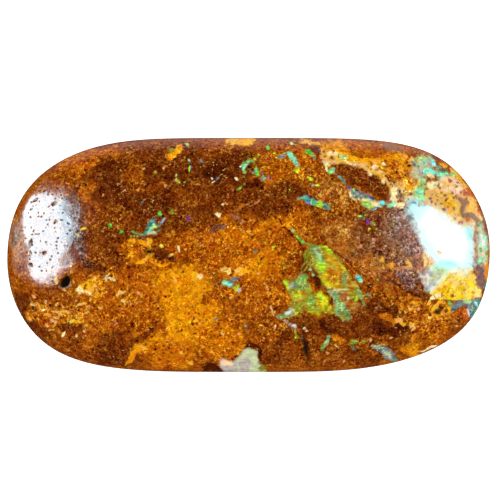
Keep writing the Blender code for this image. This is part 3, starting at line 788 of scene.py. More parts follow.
    patch(Tone.KHAKI, (6.4, -0.7), (6.75, -1), (7, -1.5), (7, -2.3), (6.7, -2.4), (6.5, -1.8)),
    seam(Tone.SAGE, 0.28, (6.6, -1.2), (6.75, -1.7), (6.8, -2.2)),
    seam(Tone.YELLOW, 0.2, (6.42, -0.72), (6.75, -1.05)),
    seam(Tone.RUSSET, 0.1, (6.35, -1.1), (6.45, -1.6), (6.4, -2.1)),
    seam(Tone.OCHRE, 0.28, (7, -1.4), (7.15, -2), (7.25, -2.6)),
    seam(Tone.KHAKI, 0.22, (7.2, -1.6), (7.45, -2.1), (7.7, -2.5)),
    *seams(Tone.SAGE, (0.26, (7.55, -2.25), (7.75, -2.6), (7.9, -2.95)),
        (0.18, (7.65, -2.6), (7.9, -3.05), (8.1, -3.55))),
    patch(Tone.TAWNY, (6.3, -2.6), (7.2, -2.6), (7.5, -3.2), (7.75, -3.7), (7.3, -3.95), (6.9, -3.7),
        (6.5, -3.1), ragged=0.3),
    oval(Tone.KHAKI, 7.1, -2.75, 0.6, 0.3, -50),
    *ovals(Tone.TAUPE, (6.5, -2.85, 0.4, 0.3), (7.5, -3.5, 0.3, 0.2)),
    patch(Tone.SAGE, (5.3, -2.2), (5.7, -2.5), (6.25, -2.65), (6.4, -3.2), (6.8, -3.6), (7, -4.1),
        (6.95, -4.5), (6.5, -4.54), (6.15, -4.2), (6, -3.6), (5.75, -3)),
    seam(Tone.POTCH, 0.13, (5.55, -2.38), (6.2, -2.42), (6.9, -2.46)),
    *flecks(Tone.MINT, 0.15, (5.75, -2.75), (5.95, -3.15), (6.15, -3.5), (6.4, -3.55), (6.5, -3.9)),
    *flecks(Tone.TEAL, 0.16, (6.3, -3.9), (6.75, -4.15), (5.95, -3.3)),
    oval(Tone.OLIVE, 6.5, -4.25, 0.34, 0.3),
    oval(Tone.SLATE, 5.95, -2.65, 0.3, 0.24),
    oval(Tone.PEACH, 6.58, -3.05, 0.2, 0.2),
    oval(Tone.PALE_GREEN, 6.93, -2.97, 0.24, 0.24),
    oval(Tone.LIME, 7.48, -3.08, 0.42, 0.18, 10),
    seam(Tone.TURQUOISE, 0.3, (7.5, -1.35), (7.62, -1.55), (7.8, -1.85)),
    oval(Tone.MINT, 7.74, -1.72, 0.36, 0.18, -56),
    oval(Tone.CYAN, 7.55, -1.4, 0.2, 0.16, -50),
    seam(Tone.TEAL, 0.15, (8.15, -2.72), (8.5, -2.85)),
    # the star's short lobe, at the left of the dark wedge
    patch(Tone.OLIVE, (2.2, -1.72), (2.8, -1.72), (3.35, -1.65), (3.7, -1.05), (3.95, -1.65), (4.15, -2),
        (4.65, -2.6), (5, -2.4), (5.4, -2.95), (5.95, -3.9), (5.95, -4.15), (5.5, -4.15), (5.2, -4),
        (4.86, -4.33), (4.4, -4.05), (4.15, -3.8), (3.9, -3.5), (3.7, -3.95), (3.2, -4.05), (3, -3.5),
        (3.1, -2.9), (2.6, -2.3)),
    patch(Tone.SAGE, (3.2, -1.75), (3.7, -1.2), (4.05, -1.8), (4.2, -2.3), (3.6, -2.35), (3.1, -2.2),
        ragged=0.16),
    *flecks(Tone.LIME, 0.16, (3.6, -2.05), (3.95, -1.85), (3.45, -2.3), (4.2, -3.9), (4.5, -3.6)),
    oval(Tone.LILAC_POTCH, 2.95, -2.05, 0.5, 0.22, 50),
    patch(Tone.KHAKI, (3.05, -2.6), (3.8, -2.5), (4.05, -2.9), (3.9, -3.35), (3.2, -3.35), ragged=0.2),
    seam(Tone.YELLOW, 0.2, (3.15, -2.75), (3.5, -2.65), (3.8, -2.8)),
    oval(Tone.AMBER, 3.74, -2.6, 0.3, 0.4),
    oval(Tone.LIME, 3.4, -2.95, 0.8, 0.26),
    *flecks(Tone.MOSS, 0.42, (4.45, -2.95), (4.3, -3.3), (3.9, -1.55)),
    patch(Tone.YELLOW, (4.8, -2.6), (5.05, -2.45), (5.35, -2.95), (5.8, -3.8), (5.95, -4.1), (5.3, -4),
        (4.85, -3.4), ragged=0.2),
    seam(Tone.LIME, 0.16, (4.95, -2.6), (5.1, -2.9), (5.15, -3.2)),
    seam(Tone.HONEY, 0.14, (4.75, -2.75), (4.9, -3.2), (5.2, -3.7)),
    *flecks(Tone.OLIVE, 0.34, (4.75, -3.5), (5.5, -3.75), (4.05, -3.5)),
    patch(Tone.YELLOW, (4.2, -3.8), (4.7, -3.95), (5.05, -4.05), (4.86, -4.32), (4.5, -4.15)),
    *flecks(Tone.PALE_GREEN, 0.17, (3.5, -1.95), (3.8, -2.15), (3.3, -1.8), (4.6, -3.15), (4.28, -1.06),
        (4.44, -1.4)),
    *flecks(Tone.LEAF, 0.2, (3.65, -3.8), (3.75, -1.85), (4.35, -3.75)),
    *flecks(Tone.SLATE, 0.16, (4.7, -3.75), (3.2, -2.1), (3.68, -1.3)),
    seam(Tone.LIME, 0.22, (2.3, -1.8), (2.6, -2), (2.75, -2.25)),
    patch(Tone.SAGE, (3, -3.5), (3.4, -3.75), (3.1, -4.05), (2.65, -4.25), (2.2, -4.35), (2.05, -4.15),
        (2.45, -4), (2.75, -3.75)),
    seam(Tone.LILAC_POTCH, 0.26, (3.1, -3.6), (2.9, -3.85), (2.6, -4.1)),
    seam(Tone.PEARL, 0.12, (2.95, -3.75), (2.75, -3.95), (2.6, -4.05)),
    seam(Tone.MOSS, 0.16, (2.9, -4.1), (2.6, -4.2), (2.35, -4.3)),
    seam(Tone.LILAC_POTCH, 0.1, (2.1, -4.25), (2.45, -4.5), (2.95, -4.8)),
    seam(Tone.YELLOW, 0.18, (3.6, -4), (3.2, -4.1)),
    oval(Tone.TEAL, 2.2, -4.22, 0.24, 0.18),
    oval(Tone.LILAC_POTCH, 3.1, -4.93, 0.5, 0.4, -20),
    oval(Tone.PEARL, 3.1, -4.93, 0.34, 0.24, -20),
    *flecks(Tone.CREAM, 0.14, (3.8, -5.1), (3.92, -5.25), (1.9, -5.05), (0.62, -4.6)),
    seam(Tone.OLIVE, 0.16, (3.15, -5.2), (3.2, -5.5), (3.55, -5.9)),
    oval(Tone.TEAL, 3.82, -5.9, 0.2, 0.2),
    # the turquoise and yellow pair below the middle
    patch(Tone.MINT, (-1.85, -1.95), (-1.65, -1.65), (-1.4, -1.85), (-1.1, -1.9), (-1.15, -2.15),
        (-1.45, -2.2), (-1.75, -2.05)),
    oval(Tone.CYAN, -1.3, -2.03, 0.36, 0.22),
    *seams(Tone.SLATE, (0.24, (-1.55, -1.7), (-1.15, -1.75), (-0.8, -1.6), (-0.5, -1.52)),
        (0.22, (-2.2, -4.3), (-2.3, -4.5))),
    oval(Tone.NAVY, -0.65, -1.65, 0.3, 0.18, 20),
    oval(Tone.CLAY, -0.95, -1.95, 0.32, 0.26),
    patch(Tone.LIME, (-1.15, -2.2), (-0.75, -2.05), (-0.55, -1.95), (-0.6, -2.4), (-0.85, -2.5)),
    oval(Tone.YELLOW, -0.9, -2.38, 0.36, 0.2, -20),
    seam(Tone.LILAC, 0.18, (-0.45, -2.15), (-0.6, -2.4), (-0.7, -2.55)),
    *ovals(Tone.TAUPE, (-0.15, -4.95, 0.36, 0.5, 20), (-2.2, -2.05, 0.14, 0.24)),
    # the potch at the lower edge
    patch(Tone.LILAC_POTCH, (-2, -7.3), (-1.2, -7.45), (-0.85, -7.2), (-0.5, -6.9), (-0.5, -8.4),
        (-1.4, -8.4), (-1.9, -7.8)),
    oval(Tone.PALE_PEACH, -1.5, -7.6, 0.8, 0.4, -14),
    patch(Tone.POTCH, (-0.45, -6.62), (0.05, -6.47), (0.5, -6.75), (0.68, -7.3), (0.95, -7.7), (1.4, -8.4),
        (-0.9, -8.4), (-0.85, -7.5), (-0.65, -7)),
    oval(Tone.LILAC_POTCH, -0.3, -7.7, 0.9, 1.2),
    oval(Tone.OLIVE, 1.05, -7.95, 0.5, 0.4, -40),
    # pale seams of the lower right
    seam(Tone.TEAL, 0.22, (5.65, -5.6), (5.5, -5.8)),
    seam(Tone.PALE_GREEN, 0.24, (5.5, -5.85), (5.5, -6.05), (5.3, -6.25)),
    seam(Tone.MOSS, 0.2, (5.3, -6.2), (5.15, -6.5), (5.1, -6.75)),
    oval(Tone.OLIVE, 7.35, -6.05, 0.62, 0.36),
    oval(Tone.MOSS, 7.5, -6.05, 0.3, 0.2),
    oval(Tone.TEAL, 7.3, -6.45, 0.26, 0.22),
    oval(Tone.OLIVE, 8.1, -5.95, 0.28, 0.22),
    patch(Tone.SLATE, (8.3, -6.35), (8.7, -6.2), (9.1, -6.2), (9.6, -6.45), (10, -6.75), (10.35, -7.2),
        (10.1, -7.4), (9.7, -7.2), (9.4, -6.95), (8.9, -6.65)),
    *seams(Tone.POTCH, (0.22, (8.4, -6.4), (8.8, -6.4), (9.2, -6.35)),
        (0.22, (9.3, -6.7), (9.7, -6.85), (9.95, -7.15))),
    oval(Tone.NAVY, 9, -6.75, 0.36, 0.16, -24),
    seam(Tone.TEAL, 0.24, (10.1, -7.1), (10.4, -7.35)),
    # the opal of the right end: the upper patch
    patch(Tone.POTCH, (11.3, 6.55), (11.7, 6.6), (12.2, 6.9), (12.7, 6.75), (12.9, 6.5), (12.5, 6.1),
        (12, 5.9), (11.95, 5.45), (11.55, 5.4), (11.3, 5.75), (11.75, 6.15), ragged=0.3),
    *flecks(Tone.TURQUOISE, 0.2, (12.35, 6.5), (11.9, 6.2), (12.1, 5.6)),
    *flecks(Tone.SLATE, 0.24, (11.6, 6.25), (13.55, 6.05)),
    oval(Tone.PALE_GREEN, 12.1, 6.75, 0.9, 0.26),
    oval(Tone.TEAL, 11.45, 6.45, 0.3, 0.24),
    *ovals(Tone.LILAC_POTCH, (12.6, 6.42, 0.36, 0.26), (12, 5.8, 0.3, 0.7, -10)),
    patch(Tone.MINT, (12.15, 5.85), (12.5, 6.15), (12.9, 6.05), (13.1, 5.75), (12.7, 5.6), (12.3, 5.5),
        ragged=0.2),
    *flecks(Tone.CYAN, 0.26, (12.35, 5.85), (12.7, 5.95), (12.85, 5.75)),
    seam(Tone.CYAN, 0.26, (12.72, 6.75), (12.85, 6.4), (13.1, 6.15)),
    oval(Tone.ICE, 12.9, 6.25, 0.34, 0.2),
    oval(Tone.TURQUOISE, 13.3, 6.1, 0.36, 0.22),
    patch(Tone.MINT, (13.1, 5.9), (13.5, 5.8), (13.95, 5.7), (13.9, 5.5), (13.5, 5.4), (13.3, 5.15),
        (13.1, 5.35)),
    oval(Tone.TURQUOISE, 13.28, 5.3, 0.24, 0.3),
    oval(Tone.BLUE, 13.15, 5.65, 0.26, 0.16),
    oval(Tone.PLUM_BROWN, 13.7, 5.97, 0.46, 0.26),
    oval(Tone.PALE_GREEN, 14.2, 5.65, 0.44, 0.34, -30),
    oval(Tone.CREAM, 12.6, 5.5, 0.44, 0.4),
    patch(Tone.CREAM, (12.45, 5.05), (12.9, 5.1), (13.2, 5), (13.1, 4.6), (12.7, 4.6), (12.45, 4.7)),
    oval(Tone.POTCH, 12.95, 4.8, 0.24, 0.28),
    seam(Tone.TAUPE, 0.13, (13.2, 5.05), (13.2, 4.8), (13.05, 4.55)),
    oval(Tone.PALE_PEACH, 13.5, 5.25, 0.5, 0.44),
    # the mint patch below it
    patch(Tone.PALE_GREEN, (11.75, 5), (12.1, 4.95), (12.35, 4.6), (12.4, 4), (12.2, 3.75), (11.6, 3.8),
        (11.4, 4.3), (11.6, 4.65), ragged=0.3),
    *flecks(Tone.MINT, 0.3, (12.1, 4.35), (11.65, 4.6), (11.6, 4.15), (12.25, 4.05)),
    oval(Tone.MOSS, 11.95, 4.85, 0.34, 0.26),
    *ovals(Tone.PALE_GREEN, (11.75, 4, 0.5, 0.34), (12.05, 5.2, 0.5, 0.4)),
    *flecks(Tone.MINT, 0.22, (11.85, 5.35), (12.2, 5.05), (12, 4.5)),
    oval(Tone.TURQUOISE, 11.72, 4.45, 0.2, 0.18),
    oval(Tone.PLUM_BROWN, 11.3, 4.3, 0.3, 0.3),
    oval(Tone.PALE_PEACH, 11.15, 4.05, 0.5, 0.26),
    oval(Tone.MINT, 10.95, 3.8, 0.34, 0.18),
    seam(Tone.NAVY, 0.12, (10.55, 4.6), (10.6, 4.3), (10.7, 3.95)),
    # the pale opal under the right highlight, painted near white: partly the opal's own pale body and partly
    # painted highlight glow
    patch(Tone.ICE, (11.3, 3.75), (11.9, 3.75), (12.5, 3.4), (13.1, 3.05), (13.9, 2.65), (14.5, 2.05),
        (15.1, 2), (15.7, 2), (15.75, 1.2), (15.75, 0.2), (15.85, -0.6), (15.6, -1), (14.6, -1.05),
        (13.9, -1.3), (13.4, -1.9), (12.8, -2.4), (12.45, -2.45), (12.25, -1.9), (12, -1.2), (12.5, -0.9),
        (12.9, -0.5), (12.4, 0.1), (12, 0.8), (11.75, 1.6), (11.45, 2.4), (11.2, 3), ragged=0.36),
    # partly painted reflection: this aqua patch over the opal stands in for the whitish-blue reflection at
    # the highlight's upper left
    patch(Tone.AQUA, (11, 3.8), (11.9, 3.95), (12.9, 3.2), (12.3, 3), (11.9, 2.4), (11.2, 2.8), ragged=0.5),
    patch(Tone.AQUA, (15, 1.95), (15.7, 1.9), (15.8, 1.1), (15.3, 1), ragged=0.4),
    patch(Tone.AQUA, (12.7, 3), (13.2, 3.1), (14.5, 2.15), (14.3, 1.85), (13.4, 2.6), ragged=0.4),
    seam(Tone.SAND, 0.2, (13.25, 0.3), (13.4, 0.1)),
    oval(Tone.BLUE, 11.5, 3.55, 0.5, 0.22),
    oval(Tone.TAUPE, 11.92, 3.5, 0.22, 0.18),
    patch(Tone.PALE_GREEN, (12.8, -1.5), (12.9, -0.7), (13.5, -0.4), (14.4, -0.8), (13.9, -1.2), (13.3, -1.6),
        ragged=0.5),
    patch(Tone.AQUA, (13.2, -0.5), (14, -0.25), (14.7, -0.45), (14.6, -0.95), (13.9, -1), (13.2, -0.85),
        ragged=0.4),
    patch(Tone.CYAN, (13.7, -0.55), (14.3, -0.5), (14.4, -0.8), (13.8, -0.85), ragged=0.4),
    patch(Tone.LILAC_POTCH, (12.05, -1.2), (12.5, -0.9), (12.95, -1.2), (13.05, -1.8), (12.7, -2.3),
        (12.35, -2.3), (12.2, -1.7), ragged=0.3),
    seam(Tone.PEARL, 0.26, (12.4, -1.2), (12.65, -1.6), (12.55, -2.1)),
    oval(Tone.POTCH, 13.1, -1.5, 1.1, 0.6, 36),
    seam(Tone.PALE_PEACH, 0.14, (11.95, -1.25), (12.3, -1.5), (12.3, -2)),
    oval(Tone.LEAF, 12.55, -2.5, 0.24, 0.22),
    *seams(Tone.SAND, (0.4, (12.2, 0.2), (12.4, -0.3), (12.2, -0.8)),
        (0.24, (12.7, 0), (12.85, -0.5), (12.4, -0.95))),
    seam(Tone.CLAY, 0.18, (15.98, 2), (15.8, 1.3), (15.78, 0.5), (15.9, -0.3)),
    # the strip of opal along the right rim
    patch(Tone.POTCH, (16.1, 2.3), (16.35, 2.2), (16.7, 0.8), (16.85, 0), (16.7, -0.5), (16.3, -0.7),
        (16.05, -0.4), (15.95, 0.2), (16, 1), (16.1, 1.5), ragged=0.2),
    oval(Tone.MOSS, 16.15, 2.2, 0.24, 0.5),
    oval(Tone.LILAC_POTCH, 16.12, 0.95, 0.3, 0.6),
    seam(Tone.PEARL, 0.16, (16.35, 1.4), (16.45, 0.9), (16.5, 0.4)),
    *flecks(Tone.MINT, 0.26, (16.55, 1.1), (16.3, 0.7), (16.6, 0.5)),
    oval(Tone.SAGE, 16.25, 0.3, 0.26, 0.4),
    oval(Tone.MINT, 16.25, -0.45, 0.4, 0.36),
    oval(Tone.PALE_PEACH, 16.4, -0.05, 0.34, 0.2),
    oval(Tone.OLIVE, 16.75, 0.05, 0.26, 0.5),
    seam(Tone.TEAL, 0.22, (16.65, -1.85), (16.55, -2.4)),
    # the blue opal at the lower right edge
    patch(Tone.SLATE, (14.1, -3.5), (14.4, -3.15), (15, -3.12), (15.5, -3.1), (16.4, -3.1), (16.2, -3.7),
        (15.9, -4.3), (15.55, -4.6), (15.35, -4.1), (15.25, -3.55), (15.1, -3.5), (14.7, -3.55), (14.4, -3.8),
        (14.2, -3.95), (14.05, -3.75)),
    patch(Tone.TEAL, (15.6, -3.15), (16.4, -3.1), (16.1, -3.8), (15.8, -4.2), (15.6, -4), (15.65, -3.5)),
    oval(Tone.AQUA, 15.85, -3.4, 0.4, 0.16, -50),
    oval(Tone.PALE_GREEN, 15.3, -3.2, 0.54, 0.22),
    oval(Tone.NAVY, 14.22, -3.72, 0.34, 0.2, 50),
    oval(Tone.MOSS, 13.95, -3.4, 0.3, 0.5, 20),
    seam(Tone.PEARL, 0.14, (15.22, -3.65), (15.32, -3.95), (15.5, -4.3)),
)

# Seams of opal that show on the ground back
BACK_MARKS = (
    seam(Tone.TEAL, 0.34, (-12.5, 2.6), (-10.4, 1.9), (-8.1, 2.2), (-6, 1.2)),
    seam(Tone.MOSS, 0.5, (4.2, -3), (5.6, -1.4), (7.6, -0.9), (9.1, 0.6)),
    seam(Tone.POTCH, 0.6, (10.9, 3.2), (12.2, 1.2), (13.4, 0.6)),
    seam(Tone.SAND, 0.34, (-3.6, -4.4), (-1.2, -3.5), (1.4, -3.9), (3, -5.1)),
    patch(Tone.OCHRE, (-4.6, 2), (-2.2, 3.4), (1.2, 3.1), (2.1, 1.7), (-0.6, 0.9), (-3.4, 0.8)),
    patch(Tone.AMBER, (-13, -2.8), (-11.2, -1.8), (-8.9, -2.6), (-9.6, -4.1), (-11.8, -4.2)),
    *ovals(Tone.UMBER, (6.3, 3.5, 3.2, 1.4, 20), (-6.2, -1.6, 2.6, 1.1, -24)),
)


@dataclass(frozen=True)
class Dent:
    """An open pit or crack in the polished face, sunk along the surface's own normal."""

    at: Place
    long: float
    wide: float
    deep: float
    turn: float = 0.0

    def sink(self, x: Array, y: Array) -> Array:
        """The depth at each place, in millimetres: deep times (1 - q^4)^(1/2), where q is 1 at the edge
        of the oval, so the walls are steep and the floor is nearly flat."""
        return self.deep * np.sqrt(np.clip(1 - self.oval().spread(x, y) ** 4, 0.0, None))

    def oval(self) -> Fleck:
        """The outline of the dent."""
        return Fleck(Tone.PIT_SHADE_BLACK, self.at, self.long, self.wide, self.turn)

    def mouth(self, x: Array, y: Array, margin: float) -> Array:
        """1 inside the dent, falling to 0 at a margin round it in millimetres, and less of both where the
        dent is shallower than a full one."""
        share = min(self.deep / FULL_DENT, 1.0)
        return eased((1 + self.oval().depth(x, y) / (margin * share**2)) * 1.5) * share


DENTS = (
    Dent((-12.76, -1.87), 0.76, 0.43, 0.36, 50),
    Dent((-6.92, 0.25), 0.24, 0.18, 0.12),
    Dent((-14.22, 0.13), 0.28, 0.16, 0.06, 48),
    Dent((-15.20, 0.85), 0.36, 0.14, 0.06, 76),
    Dent((-15.28, 0.12), 0.40, 0.12, 0.05, -64),
    Dent((-14.86, 3.86), 0.30, 0.12, 0.05, 40),
    Dent((-13.52, 3.58), 0.24, 0.14, 0.06, 30),
    Dent((-13.45, 2.30), 0.16, 0.14, 0.06),
    Dent((-15.20, -0.75), 0.22, 0.15, 0.05, 10),
    Dent((3.96, -6.42), 0.60, 0.10, 0.10, 100),
    Dent((11.30, 2.55), 0.26, 0.14, 0.06, -12),
    Dent((-3.62, -2.83), 0.18, 0.15, 0.05),
    Dent((-3.93, -3.80), 0.16, 0.14, 0.05),
    Dent((-4.20, -5.00), 0.16, 0.14, 0.05),
    Dent((0.28, -4.50), 0.20, 0.14, 0.05),
    Dent((13.15, -3.95), 0.22, 0.18, 0.08),
)


def wandered(x: Array, y: Array) -> tuple[Array, Array]:
    """Places moved a little by soft noise, which makes the dents ragged."""
    return x + 0.07 * soft_noise(x, y, 0.3, 5), y + 0.07 * soft_noise(x, y, 0.3, 6)


@dataclass
class StoneBody:
    """The stone itself: a domed face, an upright girdle, a rounded back edge and a flat ground back.

    The outline is |x/a|^p + |y/b|^q = 1 with powers that change softly round it, and the dome's profile is
    share^3 + rise^2.1 = 1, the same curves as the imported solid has.
    """

    low: Vector
    high: Vector
    inside: float = 0.9992
    columns: int = 390
    rows: int = 162
    coarser: int = 3
    back_edge_inset: float = 1.0 * MM
    girdle_bottom: float = 1.1 * MM
    girdle_top: float = 1.9 * MM
    thickness: float = 5.6 * MM
    polish_swell: float = 0.035 * MM
    swell_wavelength: float = 11.0 * MM
    wall_rings: int = 6
    edge_rings: int = 10
    long_powers: tuple[float, float, float] = (4.27, 0.43, 1.24)
    cross_powers: tuple[float, float, float] = (2.13, -0.20, -0.53)
    lean: float = 0.027
    dome_powers: tuple[float, float] = (3.0, 2.1)
    lap_ripple: float = 0.003 * MM
    undercut: float = 0.005 * MM
    back_pit: float = 0.12 * MM
    back_net: float = 0.985
    outline_samples: int = 24000
    dome_samples: int = 2000
    dome_half_span: float = 10 * MM

    def outline(self, share: Array) -> Array:
        """The outline at shares of one turn of its length, counterclockwise from the +X tip.

        For a turning angle t, x = a sgn(cos t)|cos t|^(2/p) and y = b sgn(sin t)|sin t|^(2/q), leaned a
        little along +X, and then walked at equal steps.

        Args:
            share: how far round each point is, where 1 is the whole outline.

        Returns:
            The points, as rows of x and y.
        """
        step = np.linspace(0.0, 4.0, self.outline_samples, endpoint=False)
        quarter, along = np.floor(step), step % 1.0
        angle = np.where(quarter % 2 == 0, 1 - (1 - along) ** 2.5, along**2.5)
        turn = (quarter + angle) * math.pi / 2
        cosine, sine = np.cos(turn), np.sin(turn)
        long_power, cross_power = (even + side * sine + corner * cosine * sine
                                   for even, side, corner in (self.long_powers, self.cross_powers))
        size = (self.high - self.low) * self.inside
        y = size.y / 2 * np.sign(sine) * np.abs(sine) ** (2 / cross_power)
        x = size.x / 2 * np.sign(cosine) * np.abs(cosine) ** (2 / long_power) + self.lean * y
        x *= size.x / (x.max() - x.min())
        x -= (x.max() + x.min()) / 2
        x, y = np.append(x, x[0]), np.append(y, y[0])
        walked = np.concatenate([[0.0], np.cumsum(np.hypot(np.diff(x), np.diff(y)))])
        stops = (share % 1.0) * walked[-1]
        return np.stack([np.interp(stops, walked, x), np.interp(stops, walked, y)], axis=-1)

    def dome(self, ring: Array) -> tuple[Array, Array]:
        """The dome's profile at even steps along its own length.

        Args:
            ring: 0 at the top of the dome and 1 at the girdle.

        Returns:
            The share of the outline that the dome has there, and its rise from 0 at the girdle to 1.
        """
        turn = np.linspace(math.pi / 2, 0.0, self.dome_samples)
        share = np.abs(np.cos(turn)) ** (2 / self.dome_powers[0])
        share[0] = 0.0
        rise = np.sin(turn) ** (2 / self.dome_powers[1])
        crown = self.thickness - self.girdle_top
        walked = np.cumsum(np.hypot(np.diff(share) * self.dome_half_span, np.diff(rise) * crown))
        walked = np.concatenate([[0.0], walked]) / walked[-1]
        return np.interp(ring, walked, share), np.interp(ring, walked, rise)

    def swell(self, x: Array, y: Array) -> Array:
        """The broad hollows that hand polishing leaves: three crossing waves of one wavelength."""
        wave = 2 * math.pi / self.swell_wavelength
        x, y = x * wave, y * wave
        waves = np.sin(x + 0.6) + np.sin(0.55 * x + 1.3 * y + 2.0) + np.sin(1.7 * y - 0.4 * x)
        return self.polish_swell * waves / 2

    @staticmethod
    def square_rings(columns: int, rows: int) -> tuple[Array, Array]:
        """A square net read as rings: each knot's ring and its share of one turn.

        The ring is the larger of |a| and |b|, where a and b run from -1 to 1 over the net, and the share
        counts the steps round the net's edge, counterclockwise from the middle of its +X side.

        Args:
            columns: steps along X.
            rows: steps along Y.

        Returns:
            The ring and the share, as grids of columns + 1 by rows + 1 numbers.
        """
        a, b = np.meshgrid(np.linspace(-1, 1, columns + 1), np.linspace(-1, 1, rows + 1), indexing="ij")
        ring = np.maximum(np.abs(a), np.abs(b))
        safe = np.where(ring == 0, 1.0, ring)
        a, b = a / safe, b / safe
        right = b * rows / 2
        top = rows / 2 + (1 - a) * columns / 2
        left = rows / 2 + columns + (1 - b) * rows / 2
        bottom = rows * 1.5 + columns + (1 + a) * columns / 2
        steps = np.select([a >= 1 - 1e-9, b >= 1 - 1e-9, a <= -1 + 1e-9], [right, top, left], bottom)
        return ring, steps / (2 * (columns + rows))

    @staticmethod
    def net_faces(columns: int, rows: int, first: int, upwards: bool) -> Array:
        """The four-sided faces of a net whose knots are numbered from first, one column after another."""
        column, row = np.meshgrid(np.arange(columns), np.arange(rows), indexing="ij")
        corner = (first + column * (rows + 1) + row).ravel()
        faces = np.stack([corner, corner + rows + 1, corner + rows + 2, corner + 1], axis=1)
        return faces if upwards else faces[:, ::-1]

    @staticmethod
    def net_edge(columns: int, rows: int, first: int) -> Array:
        """The numbers of the knots round a net's edge, counterclockwise from the middle of its +X side."""
        number = first + np.arange((columns + 1) * (rows + 1)).reshape(columns + 1, rows + 1)
        half = rows // 2
        return np.concatenate([number[-1, half:-1], number[:0:-1, -1], number[0, :0:-1], number[:-1, 0],
                               number[-1, :half]])

    def face_points(self) -> Array:
        """The polished face: the dome's share and rise at each knot's ring, with fine lap marks and pits.

        A knot's place is its outline point times the share, at the height girdle_top + crown * rise. The
        pits, the ripple and slight hollows where a soft noise is high are sunk along the surface's normal,
        which is the cross product of the net's two tangents.

        Returns:
            A grid of points, columns + 1 by rows + 1 by 3.
        """
        ring, turn = self.square_rings(self.columns, self.rows)
        share, rise = self.dome(ring)
        flat = self.outline(turn) * share[..., None]
        x, y = flat[..., 0], flat[..., 1]
        z = self.girdle_top + (self.thickness - self.girdle_top) * rise + self.swell(x, y) * rise
        points = np.stack([x, y, z * self.inside], axis=-1)
        normal = np.cross(np.gradient(points, axis=0), np.gradient(points, axis=1))
        normal /= np.linalg.norm(normal, axis=-1, keepdims=True)
        x, y = x / MM, y / MM
        sunk = sum(dent.sink(*wandered(x, y)) for dent in DENTS) * MM
        sunk = sunk + self.lap_ripple * (1 + soft_noise(x, y, 1.7, 7)) * eased((1 - ring) / 0.1)
        sunk = sunk + self.undercut * eased(soft_noise(x, y, 0.55, 8) * 1.6) * eased((1 - ring) / 0.05)
        return points - normal * sunk[..., None]

    def build(self) -> tuple[bpy.types.Object, Array]:
        """Makes the closed mesh: the face's net, rings down the wall and a coarser net for the back.

        The wall's rings repeat the net's edge points. On the rounded back edge the inset grows by
        1 - sin t and the height falls by 1 - cos t. The back's net has a third of the steps, and each
        of its edges meets three edges of the last ring in one face.

        Returns:
            The object, and a mark at each vertex that is true on the ground back.
        """
        face = self.face_points().reshape(-1, 3)
        around = 2 * (self.columns + self.rows)
        rim = self.outline(np.arange(around) / around)
        along = np.roll(rim, -1, axis=0) - np.roll(rim, 1, axis=0)
        outward = np.stack([along[:, 1], -along[:, 0]], axis=1)
        outward /= np.linalg.norm(outward, axis=1, keepdims=True)

        rings = []
        for step in range(1, self.wall_rings + 1):
            height = self.girdle_top + (self.girdle_bottom - self.girdle_top) * step / self.wall_rings
            rings.append(np.column_stack([rim, np.full(around, height)]))
        for step in range(1, self.edge_rings + 1):
            turn = (1 - step / self.edge_rings) * math.pi / 2
            flat = rim - outward * self.back_edge_inset * (1 - math.sin(turn))
            rings.append(np.column_stack([flat, np.full(around, self.girdle_bottom * (1 - math.cos(turn)))]))
        back_rim = rings[-1][:, :2]

        columns, rows = self.columns // self.coarser, self.rows // self.coarser
        ring, turn = self.square_rings(columns, rows)
        number = np.rint(turn * around).astype(int) % around
        flat = back_rim[number] * (ring * self.back_net)[..., None]
        back = np.concatenate([flat, self.back_pits(flat)[..., None]], axis=-1).reshape(-1, 3)

        edge = self.net_edge(self.columns, self.rows, 0)
        loops = [edge] + [len(face) + around * k + np.arange(around) for k in range(len(rings))]
        faces = self.net_faces(self.columns, self.rows, 0, True).tolist()
        for upper, lower in zip(loops, loops[1:]):
            band = np.stack([lower, np.roll(lower, -1), np.roll(upper, -1), upper], axis=1)
            faces += band.tolist()
        first_back = len(face) + around * len(rings)
        faces += self.net_faces(columns, rows, first_back, False).tolist()
        inner = self.net_edge(columns, rows, first_back)
        outer = np.append(loops[-1], loops[-1][0])
        thirds = np.arange(len(inner)) * self.coarser
        join = [inner, np.roll(inner, -1)] + [outer[thirds + k] for k in range(self.coarser, -1, -1)]
        faces += np.stack(join, axis=1).tolist()

        points = np.concatenate([face] + rings + [back])
        mesh = bpy.data.meshes.new("polished_stone")
        mesh.from_pydata(points, [], faces)
        mesh.shade_smooth()
        mesh.update()
        return placed("polished_stone", mesh), np.arange(len(points)) >= first_back

    def back_pits(self, flat: Array) -> Array:
        """The depth of natural pits left in the ground back: where soft noise passes 0.42 it sinks, and
        the rim of the back stays flat."""
        x, y = flat[..., 0] / MM, flat[..., 1] / MM
        rough = soft_noise(x, y, 1.1, 21) * 0.7 + soft_noise(x, y, 0.45, 22) * 0.3
        inner = eased((0.9 - np.hypot(x / 15.0, y / 6.6)) / 0.1)
        return self.back_pit * eased((rough - 0.42) / 0.25) * inner


